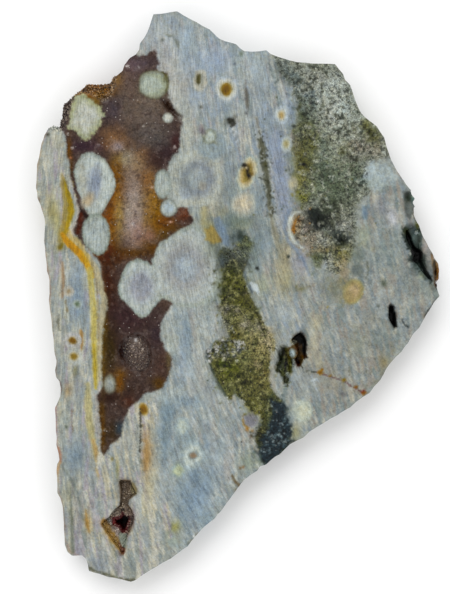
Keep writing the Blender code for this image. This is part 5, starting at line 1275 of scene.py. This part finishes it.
def stoneShape():
    solid = solidOf("slab")
    crusts = [BVHTree.FromBMesh(solidOf(name)) for name in crystals]
    tree = BVHTree.FromBMesh(solid)
    heights = np.linspace(0.4, thickness - 0.15, 6)
    bearings = np.linspace(0, 2 * math.pi, 2600, endpoint=False)
    outline = []
    for bearing in bearings:
        reach = max(outermost(tree, math.cos(bearing), math.sin(bearing), heights))
        outline.append((reach * math.cos(bearing), reach * math.sin(bearing)))
    rim = evenly(outline, stoneMesh["faceSpacing"])
    count = len(rim)

    # the sawn face: an even grid, with the pockets' rims kept as lines
    lines, corners = [], {}
    extra = []
    for start, end in pocketRims(solid):
        steps = max(1, round(math.dist(start, end) / stoneMesh["faceSpacing"]))
        chain = []
        for step in range(steps + 1):
            share = step / steps
            point = (start[0] + (end[0] - start[0]) * share, start[1] + (end[1] - start[1]) * share)
            key = (round(point[0], 4), round(point[1], 4))
            if key not in corners:
                corners[key] = count + len(extra)
                extra.append(point)
            chain.append(corners[key])
        lines += list(zip(chain, chain[1:]))
    extra = np.array(extra)
    rimPoints = [tuple(p) for p in rim]
    kept = toOutline(extra[:, 0], extra[:, 1], rimPoints) < -0.3
    lines = [line for line in lines if kept[line[0] - count] and kept[line[1] - count]]
    inner = hexagonal(rim, stoneMesh["faceSpacing"], 0.2)
    for area in (greenPocket, blackCrescent, grooveLine, crystalEdge, keyholeRing, darkShelf):
        within = hexagonal(np.array(area), stoneMesh["fineSpacing"], -0.2)
        within = within[toOutline(*within.T, rimPoints) < -0.2]
        inner = np.vstack([inner[toOutline(*inner.T, area) > 0.25], within])
    near = KDTree(len(extra))
    for number, point in enumerate(extra):
        near.insert((point[0], point[1], 0), number)
    near.balance()
    inner = np.array([p for p in inner if near.find((p[0], p[1], 0))[2] > 0.17])
    used = {number + count: place for place, number in enumerate(np.nonzero(kept)[0])}
    lines = [(count + used[a], count + used[b]) for a, b in lines]
    plan = np.vstack([rim, extra[kept], inner])
    faceAt, faceTriangles, place = triangulated(plan, ring(0, count) + lines)
    rimAt = [place[number] for number in range(count)]
    onLine = {place[number] for number in range(count, count + int(kept.sum()))}
    def sunk(x, y):
        hit = tree.ray_cast(Vector((x, y, thickness + 5)), Vector((0, 0, -1)))[0]
        return thickness - hit.z if hit and hit.z > 0.3 else 0

    depth = np.zeros(len(faceAt))
    crisp = isCrisp(*faceAt.T)
    onRim = set(rimAt)
    for number, (x, y) in enumerate(faceAt):
        if number in onRim:
            depth[number] = sunk(x * (1 - 0.06 / math.hypot(x, y)), y * (1 - 0.06 / math.hypot(x, y)))
        elif crisp[number]:
            depth[number] = 0 if number in onLine else sunk(x, y)
        elif sunk(x, y) or number in onLine:
            depth[number] = np.mean([sunk(*place) for place in nearby(x, y, stoneMesh["wornRims"])])
        if depth[number] > 0.1:
            # closes the gap round a crust
            depth[number] = min(depth[number], thickness - crustTop(crusts, x, y) + 0.15)
    x, y = faceAt.T
    worn = smooth(0.5, -0.9, toOutline(x, y, crystalEdge)) * (1 + 0.6 * cloud(x, y, 0.9, 51, 2))
    depth = np.maximum(depth, stoneMesh["crystalEdge"] * worn)
    top = np.column_stack([faceAt, thickness - depth])

    # the broken edge, level by level, down to the bed
    levels = stoneMesh["wallLevels"]
    wall = []
    for level in range(1, levels + 1):
        for number in range(count):
            x, y = rim[number]
            z = top[rimAt[number]][2] * (1 - level / levels)
            away = math.hypot(x, y)
            reach = outermost(tree, x, y, [max(z, 0.05)])[0]
            reach = min(reach, away) if reach > away - 4 else away
            wall.append((x * reach / away, y * reach / away, z))
    wall = np.array(wall)
    along = np.tile(np.arange(count) * stoneMesh["faceSpacing"], levels)
    chips = cloud(along, wall[:, 2], 2.2, 7, 2) + 0.8 * np.abs(cloud(along, wall[:, 2], 0.8, 19, 2))
    lower = np.minimum(1, (np.repeat(np.arange(levels), count) + 1) / 3)
    inward = stoneMesh["fracture"] * lower * np.clip(0.5 + 0.6 * chips, 0, 2)
    wall[:, :2] *= (1 - inward / np.hypot(wall[:, 0], wall[:, 1]))[:, None]

    # the bed
    bedRim = wall[-count:, :2]
    bed = np.vstack([bedRim, hexagonal(bedRim, stoneMesh["backSpacing"], 0.3)])
    bedAt, bedTriangles, bedPlace = triangulated(bed, ring(0, count))
    solid.free()
    return top, faceTriangles, rimAt, wall, bedAt, bedTriangles, [bedPlace[n] for n in range(count)]


def joined(top, faceTriangles, rimAt, wall, bedAt, bedTriangles, bedPlace):
    count = len(rimAt)
    levels = stoneMesh["wallLevels"]
    upper = wall[:-count]
    places = np.vstack([top, upper, np.column_stack([bedAt, np.zeros(len(bedAt))])])
    bedStart = len(top) + len(upper)
    rings = [list(rimAt)]
    rings += [list(range(len(top) + level * count, len(top) + (level + 1) * count)) for level in range(levels - 1)]
    rings.append([bedStart + number for number in bedPlace])
    faces = [tuple(face) for face in faceTriangles]
    for over, under in zip(rings, rings[1:]):
        for number in range(count):
            after = (number + 1) % count
            if number % 2:
                faces += [(over[number], under[number], under[after]), (over[number], under[after], over[after])]
            else:
                faces += [(over[number], under[number], over[after]), (over[after], under[number], under[after])]
    faces += [tuple(bedStart + corner for corner in reversed(face)) for face in bedTriangles]
    return places, faces, len(top), bedStart


def fromAbove(places):
    # where a place lies on the sawn face for someone who looks straight down on it
    away = studio["cameraHeight"] + thickness - places[:, 2]
    share = (studio["cameraHeight"] / away)[:, None]
    return (np.array(studio["aim"]) * (1 - share) + places[:, :2] * share).T


def paintPlaces(places, faceCount, bedStart):
    # the pattern runs down through the stone, and drifts a little on its way
    x, y = places[:, 0], places[:, 1]
    number = np.arange(len(x))
    below = np.where(number < bedStart, thickness - places[:, 2], thickness)
    shelf = smooth(1.2, 5.5, below)
    driftX = x * (1 - 0.006 * below) + shelf * (0.7 + 1.1 * cloud(x, y, 14, 61, 2))
    driftY = y * (1 - 0.004 * below) + shelf * (0.5 + 1.1 * cloud(x, y, 14, 67, 2))
    seenX, seenY = fromAbove(places)
    onFace = number < faceCount
    return paintStone(np.where(onFace, seenX, driftX), np.where(onFace, seenY, driftY), onFace)


def linear(colour):
    return np.where(colour <= 0.04045, colour / 12.92, ((np.maximum(colour, 0) + 0.055) / 1.055) ** 2.4)


exposure = {"light": 1.66, "sheen": 0.007}     # what the lights give a flat stone, and its reflections' share


def painted(mesh, stone):
    # the painter's colours as the mesh's own
    albedo = np.clip((linear(stone.colour) - exposure["sheen"]) / exposure["light"], 0.0015, 0.9)
    finish = np.column_stack([stone.moss, stone.gloss, stone.grain])
    for name, values in (("paint", albedo), ("finish", finish)):
        layer = mesh.color_attributes.new(name, "FLOAT_COLOR", "POINT")
        layer.data.foreach_set("color", np.column_stack([values, np.ones(len(values))]).astype(np.float32).ravel())


def stoneObject():
    shape = stoneShape()
    places, faces, faceCount, bedStart = joined(*shape)
    stone = paintPlaces(places, faceCount, bedStart)
    x, y, z = places.T
    onFace = np.arange(len(x)) < faceCount
    hollow = smooth(0.15, 0.8, thickness - z) * onFace
    pores = np.clip(cloud(x, y, 0.7, 41, 2) - 0.15, 0, 1) * stone.moss * onFace
    z = z - stoneMesh["porosity"] * pores * (1 - hollow)
    z = z + stoneMesh["pocketRoughness"] * hollow * np.minimum(0, cloud(x, y, 0.7, 43, 3))
    z = np.where(onFace, np.maximum(z, 0.6), z)
    mesh = bpy.data.meshes.new("jasper")
    mesh.from_pydata((np.column_stack([x, y, z]) * mm).tolist(), [], faces)
    painted(mesh, stone)
    mesh.shade_smooth()
    mesh.set_sharp_from_angle(angle=math.radians(38))
    piece = bpy.data.objects.new("jasper_slab", mesh)
    bpy.context.scene.collection.objects.link(piece)
    print("slab:", len(faces), "triangles,", len(places), "vertices")
    return piece


# Materials

class Wire:
    # a number's socket, to write sums with
    def __init__(self, nodes, socket):
        self.nodes, self.socket = nodes, socket

    def sum(self, operation, first, second=0.0):
        node = self.nodes.add("ShaderNodeMath", {"operation": operation}, {0: first, 1: second})
        return Wire(self.nodes, node.outputs[0])

    def __add__(self, other):
        return self.sum("ADD", self, other)

    def __sub__(self, other):
        return self.sum("SUBTRACT", self, other)

    def __rsub__(self, other):
        return self.sum("SUBTRACT", other, self)

    def __mul__(self, other):
        return self.sum("MULTIPLY", self, other)

    def __pow__(self, other):
        return self.sum("POWER", self, other)

    __radd__ = __add__
    __rmul__ = __mul__

    def between(self, low, high):
        node = self.nodes.add("ShaderNodeMapRange", {"interpolation_type": "SMOOTHSTEP"},
                              {"Value": self, "From Min": low, "From Max": high})
        return Wire(self.nodes, node.outputs[0])


class Nodes:
    def __init__(self, tree):
        self.tree = tree

    def add(self, kind, settings=None, sockets=None):
        node = self.tree.nodes.new(kind)
        for name, value in (settings or {}).items():
            if name == "stops":
                ramp = node.color_ramp
                for number, (at, colour) in enumerate(value):
                    stop = ramp.elements[number] if number < 2 else ramp.elements.new(at)
                    stop.position = at
                    stop.color = (*linear(rgb(colour)), 1)
            else:
                setattr(node, name, value)
        for name, value in (sockets or {}).items():
            value = value.socket if isinstance(value, Wire) else value
            if isinstance(value, bpy.types.NodeSocket):
                self.tree.links.new(value, node.inputs[name])
            else:
                node.inputs[name].default_value = value
        return node

    def wire(self, node, name=0):
        return Wire(self, node.outputs[name])

    def noise(self, vector, scale, detail=3.0, roughness=0.6, distortion=0.0):
        node = self.add("ShaderNodeTexNoise", None, {
            "Vector": vector, "Scale": scale, "Detail": detail, "Roughness": roughness, "Distortion": distortion})
        return self.wire(node)

    def scaled(self, vector, by):
        return self.add("ShaderNodeVectorMath", {"operation": "MULTIPLY"}, {0: vector, 1: by}).outputs[0]

    def lit(self, colour, by):
        return self.add("ShaderNodeVectorMath", {"operation": "SCALE"}, {0: colour, "Scale": by}).outputs[0]

    def mixed(self, share, first, second):
        node = self.add("ShaderNodeMix", {"data_type": "RGBA"}, {0: share, 6: first, 7: second})
        return node.outputs[2]


def newMaterial(name, **fixed):
    material = bpy.data.materials.new(name)
    material.use_nodes = True
    nodes = Nodes(material.node_tree)
    shader = material.node_tree.nodes["Principled BSDF"]
    for socket, value in fixed.items():
        shader.inputs[socket.replace("_", " ")].default_value = value
    place = nodes.add("ShaderNodeTexCoord").outputs["Object"]
    return material, nodes, shader, nodes.scaled(place, (1 / mm,) * 3)


def feed(nodes, shader, **sockets):
    for name, value in sockets.items():
        value = value.socket if isinstance(value, Wire) else value
        nodes.tree.links.new(value, shader.inputs[name.replace("_", " ")])


polish = {
    "sawMarks": 1.5,         # how far saw streaks lighten and darken the pale stone
    "sawBands": 0.3,
    "calm": 0.6,             # how far the streaks give way to clouds toward the right
    "mottle": 0.7,
    "grain": 0.85,
    "mossGrain": 3.2,
    "brownGrain": 1.2,
    "specks": 0.9,          # dark and light grains in the moss, and fainter ones in the brown
    "roughness": 0.46,
    "sheen": 0.15,           # specular level
}


def jasperMaterial():
    material, nodes, shader, place = newMaterial("jasper", Specular_IOR_Level=polish["sheen"], IOR=1.54)
    paint = nodes.add("ShaderNodeAttribute", {"attribute_name": "paint"}).outputs["Color"]
    finish = nodes.add("ShaderNodeAttribute", {"attribute_name": "finish"}).outputs["Color"]
    share = nodes.add("ShaderNodeSeparateColor", None, {0: finish})
    moss, gloss, brown = (nodes.wire(share, number) for number in range(3))
    pale = (1 - moss * 0.8) * (1 - brown * 0.7)
    axis = nodes.add("ShaderNodeSeparateXYZ", None, {0: place})
    x, y, z = (nodes.wire(axis, number) for number in range(3))
    bent = x + y * 0.28 + x * y * 0.009 - y * y * 0.0015
    thin = nodes.add("ShaderNodeCombineXYZ", None, {0: bent * 2.5, 1: y * 0.36, 2: z * 0.8}).outputs[0]
    wide = nodes.add("ShaderNodeCombineXYZ", None, {0: bent * 0.6, 1: y * 0.13, 2: z * 0.5}).outputs[0]
    saw = nodes.noise(thin, 1, 3, 0.7, 0.4) - 0.5
    band = nodes.noise(wide, 1, 2, 0.5, 0.3) - 0.5
    grain = nodes.noise(place, 1.9, 4, 0.8) - 0.5
    dust = nodes.noise(place, 3.2, 3, 0.85) - 0.5
    mottle = nodes.noise(place, 0.6, 3, 0.6) - 0.5
    calm = x.between(5, 24) * polish["calm"]
    saw = saw * (1 - calm)
    tone = saw * pale * polish["sawMarks"] + band * pale * polish["sawBands"] + mottle * polish["mottle"]
    tone = tone + (nodes.noise(place, 1.1, 4, 0.75) - 0.5) * pale * calm * 2
    tone = tone + grain * (moss * polish["mossGrain"] * 0.7 + brown * polish["brownGrain"] * 0.5 + polish["grain"])
    tone = tone + dust * (moss * polish["mossGrain"] + brown * polish["brownGrain"] + polish["grain"]) + 1
    speckled = (moss + brown * 0.2) * polish["specks"]
    dark = nodes.noise(nodes.scaled(place, (1, 1, 1.3)), 2.5, 3, 0.6).between(0.55, 0.63)
    light = nodes.noise(nodes.scaled(place, (-1, 1, 1.2)), 2.8, 3, 0.6).between(0.58, 0.66)
    tone = tone * (1 - speckled * dark) * (1 + speckled * light)
    warm = nodes.scaled(paint, (1.08, 1.01, 0.88))
    cool = nodes.scaled(paint, (0.92, 0.99, 1.12))
    tinted = nodes.mixed((nodes.noise(place, 1.4, 3, 0.65) - 0.5) * 1.6 + 0.5, cool, warm)
    # painted glints: on scattered cells of the moss and the brown, a fixed pale colour is mixed into the base colour
    cells = nodes.add("ShaderNodeTexVoronoi", None, {"Vector": place, "Scale": 1.15})
    picked = nodes.wire(nodes.add("ShaderNodeSeparateColor", None, {0: cells.outputs["Color"]}), 0).between(0.55, 0.7)
    glint = nodes.wire(cells).between(0.17, 0.08) * picked * (moss * 0.5 + brown)
    colour = nodes.mixed(glint * 0.5, nodes.lit(tinted, tone), (0.42, 0.38, 0.34, 1))
    height = saw * 0.35 * pale + grain * (moss * 1.6 + 0.3)
    bump = nodes.add("ShaderNodeBump", None, {"Strength": 0.5, "Distance": 0.05 * mm, "Height": height}).outputs[0]
    feed(nodes, shader, Base_Color=colour, Normal=bump,
         Roughness=(1 - gloss * 0.6) * polish["roughness"] + grain * 0.2)
    return material


# Crystals



def crystalPoint():
    # one quartz point, a millimetre across and tall
    build = bmesh.new()
    rings = []
    for height, radius in ((-0.3, 0.42), (0.45, 0.46)):
        rings.append([build.verts.new((radius * math.cos(turn), radius * math.sin(turn), height))
                      for turn in (math.radians(60 * number) for number in range(6))])
    tip = build.verts.new((0.05, -0.04, 1))
    build.faces.new(reversed(rings[0]))
    for number in range(6):
        after = (number + 1) % 6
        build.faces.new((rings[0][number], rings[0][after], rings[1][after], rings[1][number]))
        build.faces.new((rings[1][number], rings[1][after], tip))
    bmesh.ops.scale(build, vec=(mm,) * 3, verts=build.verts)
    bmesh.ops.recalc_face_normals(build, faces=build.faces)
    mesh = bpy.data.meshes.new("crystal")
    build.to_mesh(mesh)
    build.free()
    point = bpy.data.objects.new("crystal", mesh)
    bpy.context.scene.collection.objects.link(point)
    return point


def growingTree():
    # grows crystals on the faces marked open, and keeps the bed that they stand on
    tree = bpy.data.node_groups.new("grow crystals", "GeometryNodeTree")
    for name, kind in (("Bed", "NodeSocketGeometry"), ("Point", "NodeSocketObject"), ("Density", "NodeSocketFloat"),
                       ("Smallest", "NodeSocketFloat"), ("Largest", "NodeSocketFloat"), ("Lean", "NodeSocketFloat"),
                       ("Seed", "NodeSocketInt"), ("Material", "NodeSocketMaterial"),
                       ("Keep bed", "NodeSocketBool")):
        tree.interface.new_socket(name, in_out="INPUT", socket_type=kind)
    tree.interface.new_socket("Crystals", in_out="OUTPUT", socket_type="NodeSocketGeometry")
    nodes = Nodes(tree)
    given = nodes.add("NodeGroupInput").outputs
    open_ = nodes.add("GeometryNodeInputNamedAttribute", {"data_type": "BOOLEAN"}, {"Name": "open"}).outputs[0]
    spread = nodes.add("GeometryNodeDistributePointsOnFaces", None, {
        "Mesh": given["Bed"], "Selection": open_, "Density": given["Density"], "Seed": given["Seed"]})
    lean = nodes.wire(nodes.add("ShaderNodeMath", {"operation": "RADIANS"}, {0: given["Lean"]}))
    most = nodes.add("ShaderNodeCombineXYZ", None, {0: lean, 1: lean, 2: 3.1}).outputs[0]
    least = nodes.scaled(most, (-1, -1, -1))
    turn = nodes.add("FunctionNodeRandomValue", {"data_type": "FLOAT_VECTOR"},
                     {0: least, 1: most, "Seed": given["Seed"]}).outputs[0]
    turned = nodes.add("FunctionNodeRotateRotation", {"rotation_space": "LOCAL"}, {
        "Rotation": spread.outputs["Rotation"],
        "Rotate By": nodes.add("FunctionNodeEulerToRotation", None, {0: turn}).outputs[0]}).outputs[0]
    size = nodes.add("FunctionNodeRandomValue", {"data_type": "FLOAT"},
                     {2: given["Smallest"], 3: given["Largest"], "Seed": given["Seed"]}).outputs[1]
    point = nodes.add("GeometryNodeObjectInfo", None, {"Object": given["Point"]}).outputs["Geometry"]
    placed = nodes.add("GeometryNodeInstanceOnPoints", None, {
        "Points": spread.outputs["Points"], "Instance": point, "Rotation": turned, "Scale": size}).outputs[0]
    shade = nodes.add("FunctionNodeRandomValue", {"data_type": "FLOAT"},
                      {2: 0.45, 3: 1.5, "Seed": given["Seed"]}).outputs[1]
    marked = nodes.add("GeometryNodeStoreNamedAttribute", {"data_type": "FLOAT", "domain": "INSTANCE"},
                       {"Geometry": placed, "Name": "shade", "Value": shade}).outputs[0]
    kept = nodes.add("GeometryNodeSwitch", {"input_type": "GEOMETRY"},
                     {"Switch": given["Keep bed"], "True": given["Bed"]}).outputs[0]
    join = nodes.add("GeometryNodeJoinGeometry")
    for part in (marked, kept):
        tree.links.new(part, join.inputs[0])
    real = nodes.add("GeometryNodeRealizeInstances", None, {0: join.outputs[0]}).outputs[0]
    made = nodes.add("GeometryNodeSetMaterial", None, {"Geometry": real, "Material": given["Material"]}).outputs[0]
    nodes.add("NodeGroupOutput", None, {0: made})
    return tree


def grown(bed, name, tree, point, material, setting, keepBed):
    modifier = bed.modifiers.new("grow", "NODES")
    modifier.node_group = tree
    given = {"Point": point, "Density": setting["perSquareMm"] / mm**2, "Smallest": setting["smallest"],
             "Largest": setting["largest"], "Lean": float(setting["lean"]), "Seed": setting["seed"],
             "Material": material, "Keep bed": keepBed}
    for socket in tree.interface.items_tree:
        if socket.in_out == "INPUT" and socket.name in given:
            modifier[socket.identifier] = given[socket.name]
    depsgraph = bpy.context.evaluated_depsgraph_get()
    mesh = bpy.data.meshes.new_from_object(bed.evaluated_get(depsgraph))
    bed.modifiers.remove(modifier)
    places = np.empty(len(mesh.vertices) * 3)
    mesh.vertices.foreach_get("co", places)
    places = places.reshape(-1, 3)
    places[:, 2] = np.minimum(places[:, 2], (thickness - 0.04) * mm)     # the saw cut them off level
    mesh.vertices.foreach_set("co", places.ravel())
    painted(mesh, paintStone(*fromAbove(places / mm)))
    piece = bpy.data.objects.new(name, mesh)
    bpy.context.scene.collection.objects.link(piece)
    bpy.data.objects.remove(bed)
    print(name + ":", len(mesh.polygons), "faces")
    return piece


def crystalMaterial():
    material, nodes, shader, place = newMaterial("quartz", Specular_IOR_Level=0.45, Coat_Roughness=0.08, IOR=1.54)
    paint = nodes.add("ShaderNodeAttribute", {"attribute_name": "paint"}).outputs["Color"]
    shade = nodes.wire(nodes.add("ShaderNodeAttribute", {"attribute_name": "shade"}), "Fac")
    crystal = shade.between(0.1, 0.2)
    grain = nodes.noise(place, 5, 3, 0.7)
    tone = (shade * crystal + (1 - crystal) * 0.95) * ((grain - 0.5) * (crystal * 0.6 + 0.3) + 1)
    # painted sparkle: the brightest crystals get a pale gold mixed into their colour
    paintedSparkle = shade.between(1.3, 1.36) * 0.13
    colour = nodes.mixed(paintedSparkle, nodes.lit(paint, tone), (0.62, 0.52, 0.36, 1))
    feed(nodes, shader, Base_Color=colour, Roughness=grain * 0.4 + (1 - crystal) * 0.3 + 0.1)
    return material


def onLedge(face):
    middle = face.calc_center_median()
    return toOutline(np.array([middle.x]), np.array([middle.y]), smoothLedge)[0] < 0


def crustBed(name):
    # the CAD crust, with the faces that look into the hollow marked open
    solid = solidOf(name)
    for halving in range(6):
        bmesh.ops.triangulate(solid, faces=solid.faces)
        long = [edge for edge in solid.edges if edge.calc_length() > 0.3]
        bmesh.ops.subdivide_edges(solid, edges=long, cuts=1)
    bmesh.ops.triangulate(solid, faces=solid.faces)
    solid.normal_update()
    stoneTree = BVHTree.FromBMesh(solidOf("slab"))
    marked = solid.faces.layers.bool.new("open")
    for face in solid.faces:
        hit = stoneTree.ray_cast(face.calc_center_median(), face.normal, 0.9)[0]
        face[marked] = hit is None and face.normal.z > -0.3 and not onLedge(face)
    bmesh.ops.scale(solid, vec=(mm,) * 3, verts=solid.verts)
    mesh = bpy.data.meshes.new(name)
    solid.to_mesh(mesh)
    solid.free()
    bed = bpy.data.objects.new(name, mesh)
    bpy.context.scene.collection.objects.link(bed)
    return bed


def rimBed(slab):
    # the slab's worn rim at the upper left, as the ground for its crystals
    middles = np.empty(len(slab.data.polygons) * 3)
    slab.data.polygons.foreach_get("center", middles)
    x, y, z = middles.reshape(-1, 3).T / mm
    rim = (z > thickness * 0.45) & (toOutline(x, y, crystalEdge) < 0.15)
    bed = bmesh.new()
    bed.from_mesh(slab.data)
    bed.faces.ensure_lookup_table()
    bmesh.ops.delete(bed, geom=[bed.faces[number] for number in np.nonzero(~rim)[0]], context="FACES")
    marked = bed.faces.layers.bool.new("open")
    for face in bed.faces:
        face[marked] = True
    mesh = bpy.data.meshes.new("rim")
    bed.to_mesh(mesh)
    bed.free()
    ground = bpy.data.objects.new("rim", mesh)
    bpy.context.scene.collection.objects.link(ground)
    return ground


# Everything made, and on its body

slab = stoneObject()
slab.data.materials.append(jasperMaterial())
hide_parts("slab")
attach(slab, "root")

pointObject = crystalPoint()
growing = growingTree()
quartz = crystalMaterial()
for node, setting in crystals.items():
    name = node.replace("crystals", "druse")
    druse = grown(crustBed(node), name, growing, pointObject, quartz, setting, True)
    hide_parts(node)
    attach(druse, "root")
rimQuartz = grown(rimBed(slab), "rim_quartz", growing, pointObject, quartz, rimCrystals, False)
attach(rimQuartz, "root")
bpy.data.objects.remove(pointObject)


# Floor, light and camera


def makeFloor():
    mesh = bpy.data.meshes.new("floor")
    far = 4.0
    mesh.from_pydata([(-far, -far, -2e-5), (far, -far, -2e-5), (far, far, -2e-5), (-far, far, -2e-5)], [], [(0, 1, 2, 3)])
    floor = bpy.data.objects.new("floor", mesh)
    material, nodes, shader, place = newMaterial("paper", Roughness=0.9, Specular_IOR_Level=0.0)
    tone = nodes.noise(place, 0.4, 2, 0.5) * 0.01 + studio["floor"]
    nodes.tree.links.new(nodes.lit((1.0, 1.0, 1.0), tone), shader.inputs["Base Color"])
    mesh.materials.append(material)
    bpy.context.scene.collection.objects.link(floor)


def makeLight():
    world = bpy.data.worlds.new("studio")
    world.use_nodes = True
    bpy.context.scene.world = world
    nodes = Nodes(world.node_tree)
    direction = nodes.add("ShaderNodeTexCoord").outputs["Generated"]
    upward = nodes.wire(nodes.add("ShaderNodeSeparateXYZ", None, {0: direction}), 2)
    overhead = upward.between(0.8, 1.0)
    strength = overhead * (studio["overhead"] - studio["sky"]) + studio["sky"]
    back = world.node_tree.nodes["Background"]
    back.inputs["Color"].default_value = (1, 1, 1, 1)
    world.node_tree.links.new(strength.socket, back.inputs["Strength"])
    key = bpy.data.lights.new("key", "SUN")
    key.energy = studio["key"]
    key.angle = math.radians(studio["keyWidth"])
    lamp = bpy.data.objects.new("key", key)
    lamp.rotation_euler = Vector(studio["keyFrom"]).to_track_quat("Z", "Y").to_euler()
    bpy.context.scene.collection.objects.link(lamp)


def makeCamera():
    lens = bpy.data.cameras.new("camera")
    lens.lens = 90
    lens.clip_start, lens.clip_end = 0.01, 20
    camera = bpy.data.objects.new("camera", lens)
    camera.location = (studio["aim"][0] * mm, studio["aim"][1] * mm, (thickness + studio["cameraHeight"]) * mm)
    bpy.context.scene.collection.objects.link(camera)
    bpy.context.scene.camera = camera
    bpy.context.scene.view_settings.view_transform = "Standard"


makeFloor()
makeLight()
makeCamera()
print("floor, light and camera placed")
